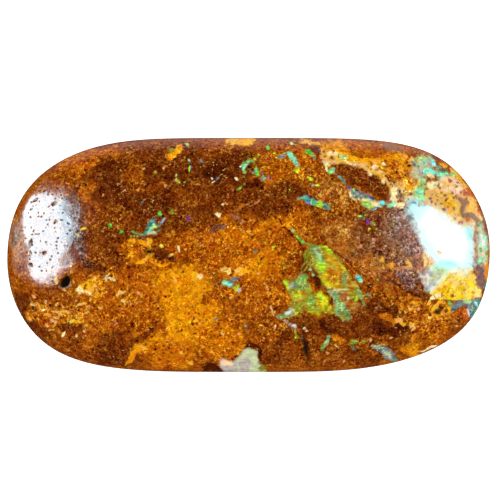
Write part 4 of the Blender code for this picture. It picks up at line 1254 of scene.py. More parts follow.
@dataclass
class StoneMarkings:
    """Where each tone lies on the stone, worked out at the mesh's vertices and kept as attributes."""

    stone: bpy.types.Object
    on_back: Array
    girdle_top: float
    seam_slant: tuple[float, float] = (0.55, 0.35)
    pool_edge: float = 1.2
    pool_softness: float = 0.45
    sandy_and_sheen_softness: float = 0.5
    # how far the sandy zones are pulled to pale taupe, partly painted sheen
    sandy_and_sheen_share: float = 0.4
    taupe_level: float = 0.6
    side_shade: float = 0.6
    # the margin of the painted pit shade round each dent, in millimetres
    painted_pit_shade_margin: float = 0.08
    unpolished_margin: float = 0.26

    def write(self, name: str, values: Array) -> None:
        """Keeps one number or one vector for each vertex under the given name."""
        kind, field_name = ("FLOAT_VECTOR", "vector") if values.ndim == 2 else ("FLOAT", "value")
        made = self.stone.data.attributes.new(name, kind, "POINT")
        made.data.foreach_set(field_name, values.astype(np.float32).ravel())

    def paint(self) -> None:
        """Works out the ground tone, the stone markings and the opal markings of every vertex.

        Below the girdle the layers lean, so a place on the wall takes the tone of a place moved by the
        seams' slant times its depth. All places wander by soft noises, which makes edges natural. The
        wall of the near side is darker, because less light comes there.
        """
        count = len(self.stone.data.vertices)
        points = np.empty(count * 3, np.float32)
        self.stone.data.vertices.foreach_get("co", points)
        points = points.reshape(-1, 3).astype(float) / MM
        below = np.clip(self.girdle_top / MM - points[:, 2], 0.0, None)
        x = points[:, 0] + self.seam_slant[0] * below
        y = points[:, 1] + self.seam_slant[1] * below

        def waves(*parts: tuple[float, float, int]) -> Array:
            """The sum of soft noises, each given as its height, its size and its seed."""
            return sum(high * soft_noise(x, y, size, seed) for high, size, seed in parts)

        broad_x = x + waves((0.5, 1.7, 11), (0.34, 0.7, 12), (0.2, 0.3, 19))
        broad_y = y + waves((0.5, 1.7, 13), (0.34, 0.7, 14), (0.2, 0.3, 20))
        near_x = x + waves((0.13, 0.6, 15), (0.06, 0.25, 16))
        near_y = y + waves((0.13, 0.6, 17), (0.06, 0.25, 18))

        ground = np.tile(Tone.RUST.light, (count, 1))
        for pool in GROUND:
            weight = eased((self.pool_edge - pool.spread(broad_x, broad_y)) / self.pool_softness)[:, None]
            ground = ground * (1 - weight) + pool.tone.light * weight
        sandy_and_sheen, crunch = (
            np.max([eased((self.pool_edge - pool.spread(broad_x, broad_y)) / self.sandy_and_sheen_softness)
                    for pool in pools], axis=0)
            for pools in (SANDY_AND_SHEEN, CRUNCHY))
        # Partly painted sheen: the sandy zones beside the highlights are pulled towards pale taupe.
        ground += (Tone.TAUPE.light * self.taupe_level - ground) * self.sandy_and_sheen_share * sandy_and_sheen[:, None]
        low_side = eased((2.5 - points[:, 2]) / 0.6) * eased(0.5 - (y + 0.3 * x) / 5)
        shade = 1 - self.side_shade * low_side
        ground *= shade[:, None]
        marks = Layer(near_x, near_y).lay(STONE_MARKS)
        opal = Layer(near_x, near_y).lay(OPAL_MARKS)
        marks.colour *= shade[:, None]

        behind = self.on_back
        back_marks = Layer(broad_x, -broad_y).lay(BACK_MARKS)
        ground[behind] = self.back_ground(broad_x, broad_y)[behind]
        marks.colour[behind], marks.depth[behind] = back_marks.colour[behind], back_marks.depth[behind]
        marks.pale[behind], opal.depth[behind], sandy_and_sheen[behind], crunch[behind] = 0.0, opal.outside, 0.0, 0.0
        # Two masks round the dents: painted pit shade that darkens them, and a wider one that takes the
        # polish off.
        for name, margin in (("hollow", self.painted_pit_shade_margin), ("unpolished", self.unpolished_margin)):
            mouths = np.max([dent.mouth(*wandered(x, y), margin) for dent in DENTS], axis=0)
            self.write(name, np.where(behind, 0.0, mouths))
        self.write("ground_tone", ground)
        self.write("sandiness", sandy_and_sheen)
        self.write("crunch", crunch)
        self.write("mark_tone", marks.colour)
        self.write("mark_depth", marks.depth)
        self.write("mark_pale", marks.pale)
        self.write("opal_tone", opal.colour)
        self.write("opal_depth", opal.depth)

    @staticmethod
    def back_ground(x: Array, y: Array) -> Array:
        """The ironstone of the back: bark and rust mixed by soft noise."""
        share = eased(0.5 + 0.5 * soft_noise(x, y, 3.1, 31) + 0.25 * soft_noise(x, y, 0.9, 32))[:, None]
        return Tone.BARK.light * (1 - share) + Tone.RUST.light * share


class Wire:
    """A socket of a material, which sums and products can be written with."""

    def __init__(self, sheet: "Sheet", socket: bpy.types.NodeSocket) -> None:
        """Keeps the socket and the sheet of nodes that it is on."""
        self.sheet = sheet
        self.socket = socket

    def math(self, operation: str, *values: "Value") -> "Wire":
        """A Math node that does the operation on the values."""
        settings = {"operation": operation}
        sockets = {("Value", "Value_001", "Value_002")[i]: value for i, value in enumerate(values)}
        return self.sheet.node("ShaderNodeMath", settings, sockets)

    def __add__(self, other: "Value") -> "Wire":
        """This plus the other."""
        return self.math("ADD", self, other)

    def __radd__(self, other: "Value") -> "Wire":
        """The other plus this."""
        return self.math("ADD", other, self)

    def __sub__(self, other: "Value") -> "Wire":
        """This less the other."""
        return self.math("SUBTRACT", self, other)

    def __rsub__(self, other: "Value") -> "Wire":
        """The other less this."""
        return self.math("SUBTRACT", other, self)

    def __mul__(self, other: "Value") -> "Wire":
        """This times the other."""
        return self.math("MULTIPLY", self, other)

    def __rmul__(self, other: "Value") -> "Wire":
        """The other times this."""
        return self.math("MULTIPLY", other, self)

    def power_of(self, base: float) -> "Wire":
        """The base raised to this."""
        return self.math("POWER", base, self)

    def distance(self) -> "Wire":
        """How far this is from 0."""
        return self.math("ABSOLUTE", self)

    def clamped(self, low: float, high: float) -> "Wire":
        """This, held between low and high."""
        return self.math("MAXIMUM", self.math("MINIMUM", self, high), low)

    def over(self, low: float, high: float) -> "Wire":
        """0 below low, 1 above high, and eased between them; it falls where high is the lower."""
        sockets = {"Value": self, "From Min": low, "From Max": high}
        return self.sheet.node("ShaderNodeMapRange", {"interpolation_type": "SMOOTHSTEP"}, sockets)

    def other(self, name: str) -> "Wire":
        """Another output of the same node."""
        return Wire(self.sheet, self.socket.node.outputs[name])


Value = Union[Wire, float]
Colour = Union[Wire, Array, tuple[float, float, float]]


class Sheet:
    """The nodes of one material, or of the world."""

    def __init__(self, owner: bpy.types.Material | bpy.types.World) -> None:
        """Clears the nodes of the material or world."""
        owner.use_nodes = True
        self.tree = owner.node_tree
        self.tree.nodes.clear()

    def node(self, kind: str, settings: dict | None = None, sockets: dict | None = None,
             output: int | str = 0) -> Wire:
        """Adds a node.

        Args:
            kind: the node's type.
            settings: what is chosen on the node itself, set before its sockets.
            sockets: a value or a wire for each socket, by its identifier or name.
            output: the number or name of the output to return.

        Returns:
            The wire of that output.
        """
        made = self.tree.nodes.new(kind)
        for name, value in (settings or {}).items():
            setattr(made, name, value)
        for name, value in (sockets or {}).items():
            socket = next(s for s in made.inputs if name in (s.identifier, s.name))
            if isinstance(value, Wire):
                self.tree.links.new(value.socket, socket)
            elif isinstance(value, (int, float)):
                socket.default_value = value
            else:
                level = [float(part) for part in value]
                socket.default_value = level + [1.0] * (len(socket.default_value) - len(level))
        return Wire(self, made.outputs[output])

    def finish(self, kind: str, shader: Wire) -> None:
        """Ends the sheet with an output node of the given type."""
        self.tree.links.new(shader.socket, self.tree.nodes.new(kind).inputs["Surface"])

    def blend(self, factor: Value, first: Colour, second: Colour) -> Wire:
        """The first colour where the factor is 0 and the second where it is 1."""
        sockets = {"Factor_Float": factor, "A_Color": first, "B_Color": second}
        return self.node("ShaderNodeMix", {"data_type": "RGBA"}, sockets, 2)

    def times(self, colour: Colour, other: Colour) -> Wire:
        """Two colours multiplied."""
        sockets = {"Factor_Float": 1.0, "A_Color": colour, "B_Color": other}
        return self.node("ShaderNodeMix", {"data_type": "RGBA", "blend_type": "MULTIPLY"}, sockets, 2)

    def plus(self, colour: Colour, other: Colour, factor: Value = 1.0) -> Wire:
        """The other colour, times the factor, added to the first."""
        sockets = {"Factor_Float": factor, "A_Color": colour, "B_Color": other}
        return self.node("ShaderNodeMix", {"data_type": "RGBA", "blend_type": "ADD"}, sockets, 2)

    def kept(self, name: str, output: str = "Color") -> Wire:
        """What the mesh keeps under a name."""
        settings = {"attribute_type": "GEOMETRY", "attribute_name": name}
        return self.node("ShaderNodeAttribute", settings, output=output)

    def place(self) -> Wire:
        """The place on the stone in millimetres."""
        metres = self.node("ShaderNodeTexCoord", output="Object")
        return self.node("ShaderNodeVectorMath", {"operation": "SCALE"}, {"Vector": metres, "Scale": 1 / MM})

    def ragged(self, place: Wire, per_mm: float, by: float) -> Wire:
        """A place that noise moves by up to half of by each way, so that cells lose their straight sides."""
        drift = self.noise(place, per_mm, 2.0).other("Color")
        drift = self.node("ShaderNodeVectorMath", {"operation": "SCALE"}, {"Vector": drift, "Scale": by})
        return self.node("ShaderNodeVectorMath", {"operation": "ADD"}, {"Vector": place, "Vector_001": drift})

    def moved(self, place: Wire, by: tuple[float, float, float]) -> Wire:
        """A place moved by a fixed step, so that a second pattern differs from the first."""
        return self.node("ShaderNodeVectorMath", {"operation": "ADD"}, {"Vector": place, "Vector_001": by})

    def noise(self, place: Wire, per_mm: float, detail: float = 2.0, roughness: float = 0.5,
              distortion: float = 0.0) -> Wire:
        """Soft noise with so many waves a millimetre."""
        sockets = {"Vector": place, "Scale": per_mm, "Detail": detail, "Roughness": roughness,
                   "Distortion": distortion}
        return self.node("ShaderNodeTexNoise", sockets=sockets)

    def cells(self, place: Wire, per_mm: float, feature: str = "F1") -> Wire:
        """Random cells, so many a millimetre: the distance to the middle of each."""
        return self.node("ShaderNodeTexVoronoi", {"feature": feature}, {"Vector": place, "Scale": per_mm})

    def apart(self, colour: Wire, part: str) -> Wire:
        """The Red, Green or Blue part of a colour."""
        return self.node("ShaderNodeSeparateColor", sockets={"Color": colour}, output=part)


@dataclass(frozen=True)
class Wave:
    """Noise measured in its own usual swings, so that about two places in three are between -1 and 1."""

    per_mm: float
    detail: float = 3.0
    roughness: float = 0.6
    bend: float = 0.3
    usual_swing: float = 0.105

    def wire(self, sheet: Sheet, place: Wire) -> Wire:
        """The noise at a place, less its middle, over its usual swing."""
        noise = sheet.noise(place, self.per_mm, self.detail, self.roughness, self.bend)
        return (noise - 0.5) * (1 / self.usual_swing)


@dataclass(frozen=True)
class IronstoneGrain:
    """Polished ironstone: fine grains of lighter and darker ochre, threads, light specks and dark specks."""

    grains: Wave = Wave(4.9, 1.3, 0.5, 1.0)
    mottle: Wave = Wave(2.1, 3.0, 0.6, 0.8)
    patches: Wave = Wave(0.8, 4.0, 0.6, 0.4)
    hue: Wave = Wave(1.7, 4.0, 0.65)
    specks: Wave = Wave(6.6, 1.0, 0.5)
    threads: Wave = Wave(1.7, 1.6, 0.5, 1.4)
    clumps: Wave = Wave(2.3, 3.0, 0.6, 1.2)
    strokes: Wave = Wave(2.5, 1.0, 0.5, 1.8)
    dark_specks_per_mm: float = 3.6
    swing_on_dark: float = 0.64
    swing_on_gold: float = 0.29
    powers: tuple[float, float, float] = (1.0, 1.75, 3.0)

    def wave(self, sheet: Sheet, place: Wire) -> Wire:
        """The sum of fine grains, middle mottles, broad patches and light strokes, where one more noise is
        near its middle. It swings by about 1 each way, more in some zones than in others."""
        fine, middle, broad = (part.wire(sheet, place) for part in (self.grains, self.mottle, self.patches))
        zone = self.patches.wire(sheet, sheet.moved(place, (2.0, 9.0, 6.0))).over(-1.4, 1.4)
        stroke = 0.9 - self.strokes.wire(sheet, sheet.moved(place, (7.0, 2.0, 4.0))).distance() * 2.4
        crisp = (fine * 0.72 + stroke.clamped(-0.7, 0.9) * 0.85) * (0.75 + zone * 0.7)
        return crisp + middle * 0.48 + broad * 0.15

    def colour(self, sheet: Sheet, place: Wire, tone: Wire, wave: Wire, strength: Wire, crunch: Wire) -> Wire:
        """The ground tone with its grain.

        Red, green and blue are each multiplied by 2 to the power of the grain's height times a power of
        their own, so light grains turn peach and dark ones deep brown. Another noise turns the tone
        redder or more yellow. Where a soft noise is close to its middle there is a light thread, where
        one is very high a grain of sand, and a few random cells hold a dark speck.

        Args:
            sheet: the material's nodes.
            place: the place in millimetres.
            tone: the ground tone.
            wave: the grain's wave.
            strength: 1 for the full grain, less where it is finer than the eye sees.
            crunch: 1 where clumps of gold clay lie in the stone, with dark gaps, and 0 where none do.

        Returns:
            The colour.
        """
        rich = sheet.apart(tone, "Green").over(0.05, 0.24)
        swing = self.swing_on_dark + rich * (self.swing_on_gold - self.swing_on_dark)
        speck = self.specks.wire(sheet, sheet.moved(place, (3.1, 7.7, 1.3))).over(1.2, 2.0)
        thread = self.threads.wire(sheet, sheet.moved(place, (8.0, 1.0, 5.0))).distance().over(0.20, 0.04)
        some = self.patches.wire(sheet, sheet.moved(place, (1.0, 6.0, 3.0))).over(-0.3, 1.2)
        lift = wave * swing + thread * (some + crunch) * 0.75
        lift = (lift * strength).clamped(-1.6, 1.7)
        hue = self.hue.wire(sheet, sheet.moved(place, (4.0, 8.0, 2.0)))
        toned = sheet.blend(hue.over(0.2, 1.8) * 0.85, tone, sheet.times(tone, (1.05, 0.70, 0.5)))
        toned = sheet.blend(hue.over(-0.2, -1.8) * 0.85, toned, sheet.times(toned, (0.92, 1.16, 1.0)))
        channels = zip(("Red", "Green", "Blue"), self.powers)
        parts = {name: (lift * power).power_of(2.0) for name, power in channels}
        toned = sheet.times(toned, sheet.node("ShaderNodeCombineColor", sockets=parts))
        sand = sheet.blend(hue.over(-1.0, 1.0), Tone.LEMON.light, Tone.PEACH.light)
        toned = sheet.blend(speck * strength * (0.08 + some * 0.6), toned, sand)
        clump = self.clumps.wire(sheet, sheet.moved(place, (5.0, 4.0, 2.0)))
        gap = sheet.times(toned, (0.42, 0.28, 0.3))
        toned = sheet.blend(clump.over(-0.5, -1.2) * crunch * 0.7, toned, gap)
        gold = sheet.blend(clump.over(1.2, 2.3), Tone.BRIGHT_GOLD.light, Tone.CREAM.light)
        toned = sheet.blend(clump.over(0.55, 1.1) * crunch * 0.85, toned, gold)

        moved = sheet.ragged(sheet.moved(place, (9.4, 1.2, 6.6)), 5.0, 0.12)
        cell = sheet.cells(moved, self.dark_specks_per_mm)
        picked = sheet.apart(cell.other("Color"), "Blue").over(0.90, 0.94)
        dark = cell.over(0.46, 0.26) * picked * 0.9 * strength
        return sheet.blend(dark, toned, sheet.times(toned, (0.25, 0.14, 0.3)))


@dataclass(frozen=True)
class LumpyClay:
    """Clay and sand: lumps that differ a little in tone, with brown spots and cracks between them."""

    lumps_per_mm: float = 2.4
    spots: Wave = Wave(2.9, 3.0, 0.6, 0.9)
    stain: tuple[float, float, float] = (0.42, 0.22, 0.16)

    def colour(self, sheet: Sheet, place: Wire, tone: Wire, wave: Wire) -> Wire:
        """The tone of a clay or sand, broken up.

        Each random cell is a lump with its own hue, strength of colour and brightness. Where the noise
        of the spots is low, the tone is stained brown, and the ironstone's grain shows faintly.

        Args:
            sheet: the material's nodes.
            place: the place in millimetres.
            tone: the clay's tone.
            wave: the wave of the ironstone's grain.

        Returns:
            The colour.
        """
        chance = sheet.cells(sheet.ragged(place, 3.4, 0.45), self.lumps_per_mm).other("Color")
        hue = 0.5 + (sheet.apart(chance, "Red") - 0.5) * 0.03
        strong = 0.92 + sheet.apart(chance, "Blue") * 0.24
        bright = 0.95 + sheet.apart(chance, "Green") * 0.22
        sockets = {"Hue": hue, "Saturation": strong, "Value": bright, "Color": tone}
        lump = sheet.node("ShaderNodeHueSaturation", sockets=sockets)
        lump = sheet.blend(wave.over(0.0, -3.0), lump, sheet.times(lump, (0.70, 0.52, 0.40)))
        lump = sheet.plus(lump, (0.12, 0.09, 0.03), wave.over(0.0, 2.6))
        spot = self.spots.wire(sheet, sheet.moved(place, (2.0, 5.0, 9.0))).over(-0.95, -1.8)
        return sheet.blend(spot * 0.85, lump, sheet.times(lump, self.stain))


@dataclass(frozen=True)
class OpalPlay:
    """Opal: a body tone in small domains, with sparks, and thin enough in places to show the stone."""

    domains_per_mm: float = 3.6
    sparks_per_mm: float = 6.4
    fibre_turn: float = math.radians(-62)
    fibres: Wave = Wave(5.5, 3.0, 0.6, 0.0)
    windows: Wave = Wave(3.6, 3.0, 0.6)

    def colour(self, sheet: Sheet, place: Wire, tone: Wire, under: Wire) -> Wire:
        """The opal's tone with its play of colour.

        Each random cell turns the hue a little and changes the brightness. Noise that is drawn out in
        one direction gives fibres, small cells past a random limit give sparks, and where another noise
        is low the stone beneath shows through. Bluish milky tones change the least.

        Args:
            sheet: the material's nodes.
            place: the place in millimetres.
            tone: the body tone.
            under: the colour of the stone beneath.

        Returns:
            The colour.
        """
        milky = sheet.apart(tone, "Blue") * sheet.apart(tone, "Red")
        lively = 1 - milky.over(0.08, 0.26) * 0.85
        chance = sheet.cells(sheet.ragged(place, 3.0, 0.45), self.domains_per_mm).other("Color")
        hue = 0.5 + (sheet.apart(chance, "Red") - 0.5) * 0.05
        bright = 1.04 + (sheet.apart(chance, "Green") - 0.5) * 0.5 * lively
        sockets = {"Hue": hue, "Saturation": 1.0, "Value": bright, "Color": tone}
        played = sheet.node("ShaderNodeHueSaturation", sockets=sockets)
        drawn = sheet.node("ShaderNodeMapping", sockets={
            "Vector": place, "Rotation": (0.0, 0.0, -self.fibre_turn), "Scale": (0.28, 1.0, 1.0)})
        fibre = self.fibres.wire(sheet, drawn)
        played = sheet.blend(fibre.over(0.1, -1.8) * lively, played, sheet.times(played, (0.55, 0.45, 0.32)))
        played = sheet.plus(played, (0.26, 0.30, 0.05), fibre.over(0.2, 2.2) * lively)
        spark = sheet.cells(sheet.moved(place, (6.1, 0.7, 3.3)), self.sparks_per_mm)
        picked = sheet.apart(spark.other("Color"), "Green").over(0.74, 0.92) * lively
        played = sheet.plus(played, (0.36, 0.46, 0.06), spark.over(0.55, 0.25) * picked)
        thin = self.windows.wire(sheet, sheet.moved(place, (5.0, 2.0, 0.0))).over(-0.6, -1.9) * 0.6
        return sheet.blend(thin * lively, played, under)


@dataclass(frozen=True)
class StoneFinish:
    """The whole finish: grain, clay, opal, tiny pits darkened with painted shade, grey grains of painted
    sheen in the sandy zones, and a polish that fades to a ground back.
    """

    polish: float = 0.08
    ground: float = 0.52
    index: float = 1.54
    mark_grit: float = 0.42
    opal_grit: float = 0.22
    grain_relief: float = 0.0003
    worn_relief: float = 0.0025
    worm_relief: float = 0.0010
    tiny_pit_share: float = 0.85
    # the colour of the painted sheen grains in the sandy zones
    painted_sheen_grain: tuple[float, float, float] = (0.48, 0.36, 0.30)
    grit: Wave = Wave(3.6, 2.0, 0.5)
    worms: Wave = Wave(2.0, 0.3, 0.5, 2.4)
    grain: IronstoneGrain = IronstoneGrain()
    lumps: LumpyClay = LumpyClay()
    play: OpalPlay = OpalPlay()

    def material(self) -> bpy.types.Material:
        """Makes the stone's material.

        Returns:
            The material, whose patterns read the place on the stone and what the mesh keeps.
        """
        material = bpy.data.materials.new("polished_boulder_opal")
        sheet = Sheet(material)
        place = sheet.place()
        height = sheet.node("ShaderNodeSeparateXYZ", sockets={"Vector": place}, output="Z")
        grit = self.grit.wire(sheet, place)
        wave = self.grain.wave(sheet, place)
        strength = 0.55 + height.over(2.0, 4.6) * 0.45
        sandy_and_sheen = sheet.kept("sandiness", "Fac")

        marked = (sheet.kept("mark_depth", "Fac") + grit * self.mark_grit).over(-0.5, 0.5)
        tone = sheet.blend(marked, sheet.kept("ground_tone"), sheet.kept("mark_tone"))
        crunch = sheet.kept("crunch", "Fac")
        stone = self.grain.colour(sheet, place, tone, wave * (1 + sandy_and_sheen * 0.3), strength, crunch)
        clay = self.lumps.colour(sheet, place, tone, wave)
        stone = sheet.blend(marked * sheet.kept("mark_pale", "Fac"), stone, clay)
        worm = self.worms.wire(sheet, sheet.moved(place, (3.0, 3.0, 8.0))).distance().over(0.75, 0.1)
        # Painted sheen: pale grey grains in the sandy zones beside the highlights.
        stone = sheet.blend(sandy_and_sheen * worm * wave.over(-2.2, 1.0) * 0.5, stone, self.painted_sheen_grain)
        is_opal = (sheet.kept("opal_depth", "Fac") + grit * self.opal_grit).over(-0.75, 0.75)
        opal = self.play.colour(sheet, place, sheet.kept("opal_tone"), stone)
        colour = sheet.blend(is_opal, stone, opal)
        # Painted pit shade: the colour in pits is darkened, to near black inside the open dents, and goes to
        # the matte shader that takes the polish off there.
        hollow = sheet.kept("hollow", "Fac")
        pit_shade = sheet.blend(hollow, sheet.times(colour, (0.36, 0.36, 0.5)), Tone.PIT_SHADE_BLACK.light)

        sandy_and_sheen = sandy_and_sheen * (1 - is_opal)
        worn = height.over(1.2, 0.1)
        rough = self.polish + worn * (self.ground - self.polish) + sandy_and_sheen * (0.03 + wave * 0.01)
        relief = wave * self.grain_relief + worn * wave * self.worn_relief + sandy_and_sheen * worm * self.worm_relief
        bump = sheet.node("ShaderNodeBump", sockets={"Strength": 1.0, "Distance": MM, "Height": relief})
        shader = sheet.node("ShaderNodeBsdfPrincipled", sockets={
            "Base Color": colour, "Roughness": rough, "IOR": self.index, "Normal": bump})
        hole = sheet.node("ShaderNodeBsdfPrincipled", sockets={
            "Base Color": pit_shade, "Roughness": 1.0, "Specular IOR Level": 0.0})
        tiny = self.pits(sheet, place) * (1 - is_opal) * (1 - marked * 0.7) * self.tiny_pit_share
        unpolished = tiny + sheet.kept("unpolished", "Fac")
        sockets = {"Fac": unpolished.clamped(0.0, 1.0), "Shader": shader, "Shader_001": hole}
        sheet.finish("ShaderNodeOutputMaterial", sheet.node("ShaderNodeMixShader", sockets=sockets))
        return material

    def pits(self, sheet: Sheet, place: Wire) -> Wire:
        """Tiny pits of the polish, which don't mirror: a few of many ragged cells."""
        cell = sheet.cells(sheet.ragged(sheet.moved(place, (1.7, 9.2, 4.4)), 6.0, 0.14), 4.0)
        return cell.over(0.42, 0.26) * sheet.apart(cell.other("Color"), "Green").over(0.54, 0.62)


@dataclass(frozen=True)
class Panel:
    """A glowing panel that only the polish mirrors.

    Its corners are directions from its seat, the place on the stone in millimetres that mirrors it: a
    tilt from straight up and a turn from +X, in degrees.
    """

    name: str
    level: float
    corners: tuple[tuple[float, float], ...]
    solid: float = 0.8
    tint: tuple[float, float, float] = (0.97, 0.99, 1.04)
    distance: float = 0.40
    seat: tuple[float, float, float] = (0.0, 0.0, 0.0)
    rings: int = 10

    def build(self, camera_height: float) -> None:
        """Makes the panel as rings of points from its middle to its outline.

        A point is the middle's direction mixed with the corner's by the ring's share, brought to the
        panel's distance from the seat. The camera looks at the seat aslant by seat / height, which
        turns what the seat mirrors by as much, so the panel moves on by distance * seat / height. The
        glow falls from the solid share to nothing at the outline.

        Args:
            camera_height: how high over the stone the camera is.
        """
        tilt, turn = np.radians(np.array(self.corners)).T
        edge = np.stack([np.sin(tilt) * np.cos(turn), np.sin(tilt) * np.sin(turn), np.cos(tilt)], axis=1)
        share = np.linspace(0.02, 1.0, self.rings)
        points = edge.mean(axis=0) * (1 - share[:, None, None]) + edge * share[:, None, None]
        seat = np.array(self.seat) * MM
        slant = np.array([seat[0], seat[1], 0.0]) / camera_height
        points = points / np.linalg.norm(points, axis=-1, keepdims=True)
        points = seat + (points + slant) * self.distance
        mesh = bpy.data.meshes.new(self.name)
        mesh.from_pydata(points.reshape(-1, 3), [], disc_faces(self.rings, len(edge)))
        glow = np.repeat(eased((1 - share) / (1 - self.solid)), len(edge))
        mesh.attributes.new("glow", "FLOAT", "POINT").data.foreach_set("value", glow.astype(np.float32))

        material = bpy.data.materials.new(self.name)
        sheet = Sheet(material)
        lit = sheet.node("ShaderNodeEmission", sockets={"Color": self.tint, "Strength": self.level})
        clear = sheet.node("ShaderNodeBsdfTransparent")
        sockets = {"Fac": sheet.kept("glow", "Fac"), "Shader": clear, "Shader_001": lit}
        sheet.finish("ShaderNodeOutputMaterial", sheet.node("ShaderNodeMixShader", sockets=sockets))
        mesh.materials.append(material)
        panel = placed(self.name, mesh)
        panel.visible_camera = panel.visible_diffuse = panel.visible_shadow = False


LEFT_SEAT = (-14.0, 1.5, 3.5)
RIGHT_SEAT = (13.6, 1.2, 3.5)
BACK_SEAT = (0.0, 7.8, 2.0)
PANELS = (
    Panel("left_soft_box", 19.5, (
        (98, 147), (71, 141), (53, 139), (41, 143), (30, 154), (25.2, 164), (24.4, 170), (24.9, 176),
        (27, 183), (31.8, 191), (41, 196), (50, 194), (56.5, 187), (55, 179), (60, 175), (68, 171), (80, 165),
        (94, 158)),
        solid=0.82, tint=(0.72, 1.0, 1.14), seat=LEFT_SEAT),
    Panel("left_glow", 2.9, (
        (112, 152), (76, 134), (54, 131), (39, 135), (27, 148), (22, 163), (21.5, 172), (23, 181), (26, 189),
        (33, 196), (43, 199), (54, 196), (63, 190), (64, 182), (70, 177), (80, 172), (96, 165)),
        solid=0.4, distance=0.43, tint=(0.80, 1.0, 1.2), seat=LEFT_SEAT),
    Panel("right_soft_box", 13.0, (
        (24, 40), (32, 37), (38, 28), (45, 22), (52, 17), (58, 12), (60, 5), (57, -4), (50, -9), (41, -12),
        (33, -10), (27, -5), (22, 3), (20, 13), (21, 24)), solid=0.36, seat=RIGHT_SEAT),
    Panel("right_glow", 3.2, (
        (22, 46), (34, 42), (44, 30), (56, 22), (66, 12), (66, -4), (54, -12), (40, -14), (28, -12), (20, -4),
        (17, 8), (16, 26), (18, 40)), solid=0.3, distance=0.43, tint=(0.94, 0.98, 1.08), seat=RIGHT_SEAT),
    Panel("left_wall", 2.5, (
        (110, 130), (60, 128), (34, 132), (24, 142), (20, 160), (20, 178), (24, 192), (36, 199), (55, 198),
        (75, 192), (110, 186)), solid=0.25, distance=0.46, tint=(0.66, 1.0, 1.20), seat=LEFT_SEAT),
    Panel("right_wall", 1.6, (
        (34, 50), (20, 48), (10, 30), (7, 0), (10, -30), (22, -26), (38, -16), (62, -12), (80, 0), (75, 20),
        (50, 30)), solid=0.35, distance=0.46, tint=(0.70, 1.0, 1.20), seat=RIGHT_SEAT),
    Panel("right_rim", 1.3, (
        (70, 46), (60, 22), (60, -6), (66, -26), (84, -40), (125, -42), (130, 0), (125, 44), (90, 52)),
        solid=0.3, distance=0.5, seat=RIGHT_SEAT),
    Panel("back_wall", 0.55, (
        (84, 50), (82, 90), (84, 130), (110, 140), (150, 140), (165, 90), (150, 40), (110, 40)),
        solid=0.1, distance=0.50, tint=(1.0, 0.90, 0.96), seat=BACK_SEAT),
)


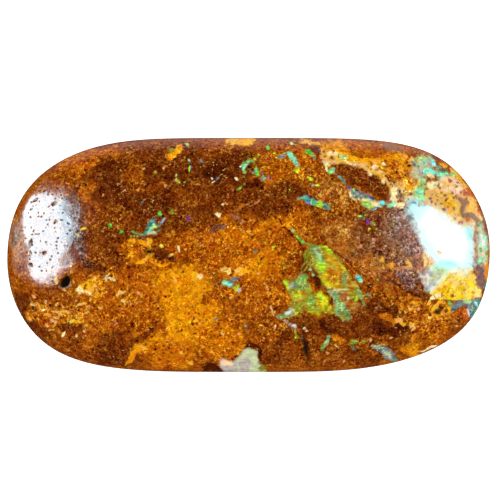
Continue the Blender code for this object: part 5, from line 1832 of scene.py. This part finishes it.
@dataclass
class Studio:
    """A pale lit table, glowing panels, four lamps round the stone and a camera straight above."""

    view_width: float = 35.0 * MM
    view_centre: tuple[float, float] = (0.105 * MM, 0.35 * MM)
    camera_height: float = 0.6
    sensor_width: float = 36.0
    focus_height: float = 1.5 * MM
    lamp_level: float = 1.65
    lamp_size: float = 0.45
    lamp_distance: float = 0.6
    lamp_tilt: float = math.radians(50)
    lamp_turns: tuple[float, ...] = (45, 135, 225, 315)
    sky_level: float = 0.35
    table_gap: float = 0.02 * MM

    def floor(self) -> None:
        """A round pale table that glows a little, as a light table does, and is clear from below.

        Its points are on circles of growing size about the middle, four-sided between them.
        """
        around, rings = 96, np.array([0.0001, 0.05, 0.2, 0.6, 1.5])
        turn = np.arange(around) / around * 2 * math.pi
        flat = rings[:, None, None] * np.stack([np.cos(turn), np.sin(turn)], axis=1)
        points = np.concatenate([flat, np.zeros((len(rings), around, 1))], axis=2).reshape(-1, 3)
        mesh = bpy.data.meshes.new("pale_table")
        mesh.from_pydata(points, [], disc_faces(len(rings), around))
        material = bpy.data.materials.new("pale_table")
        sheet = Sheet(material)
        shader = sheet.node("ShaderNodeBsdfPrincipled", sockets={
            "Base Color": (0.86, 0.86, 0.86), "Roughness": 0.9, "Emission Color": (1.0, 1.0, 1.0),
            "Emission Strength": 0.8})
        below = sheet.node("ShaderNodeNewGeometry", output="Backfacing")
        clear = sheet.node("ShaderNodeBsdfTransparent")
        sockets = {"Fac": below, "Shader": shader, "Shader_001": clear}
        sheet.finish("ShaderNodeOutputMaterial", sheet.node("ShaderNodeMixShader", sockets=sockets))
        mesh.materials.append(material)
        table = placed("pale_table", mesh)
        table.location.z = -self.table_gap
        table.visible_glossy = False

    def lights(self) -> None:
        """Hangs the panels, and four large lamps that light the stone but aren't mirrored.

        A lamp of the given level, at every place the same, has a power of level * pi * its area.
        """
        for panel in PANELS:
            panel.build(self.camera_height)
        for turn in np.radians(self.lamp_turns):
            lamp = bpy.data.lights.new("lamp", "AREA")
            lamp.size = self.lamp_size
            lamp.energy = self.lamp_level * math.pi * lamp.size**2
            holder = placed("lamp", lamp)
            tilt = math.sin(self.lamp_tilt)
            place = Vector((tilt * math.cos(turn), tilt * math.sin(turn), math.cos(self.lamp_tilt)))
            holder.location = place * self.lamp_distance
            holder.rotation_euler = place.to_track_quat("Z", "Y").to_euler()
            holder.visible_glossy = False

    def surroundings(self) -> None:
        """An even light all round, which the polish mirrors as a dark room."""
        world = bpy.data.worlds.new("studio")
        bpy.context.scene.world = world
        sheet = Sheet(world)
        path = sheet.node("ShaderNodeLightPath", output="Is Camera Ray")
        level = path * 0.9 + path.other("Is Diffuse Ray") * self.sky_level + 0.008
        shade = sheet.node("ShaderNodeBackground", sockets={"Color": (1.0, 1.0, 1.0), "Strength": level})
        sheet.finish("ShaderNodeOutputWorld", shade)

    def camera(self) -> None:
        """Hangs a camera with a long lens straight over the stone, framed as the photograph is."""
        camera = bpy.data.cameras.new("camera")
        camera.sensor_width = self.sensor_width
        camera.lens = self.sensor_width * (self.camera_height - self.focus_height) / self.view_width
        camera.clip_start = 0.01
        holder = placed("camera", camera)
        holder.location = (*self.view_centre, self.camera_height)
        bpy.context.scene.camera = holder

    def build(self) -> None:
        """Sets up the table, the lights, the room and the camera."""
        self.floor()
        self.lights()
        self.surroundings()
        self.camera()
        bpy.context.scene.view_settings.view_transform = "Standard"
        bpy.context.scene.view_settings.look = "None"


def main() -> None:
    """Builds the studio and the stone, and reports each piece."""
    logging.basicConfig(level=logging.INFO, format="%(name)s: %(message)s")
    Studio().build()
    low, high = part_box("boulder_opal")
    body = StoneBody(low, high)
    stone, on_back = body.build()
    StoneMarkings(stone, on_back, body.girdle_top).paint()
    stone.data.materials.append(StoneFinish().material())
    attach(stone, "root")
    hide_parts("boulder_opal")
    log.info("%s: %d vertices, %d faces", stone.name, len(stone.data.vertices), len(stone.data.polygons))


if __name__ == "__main__":
    main()
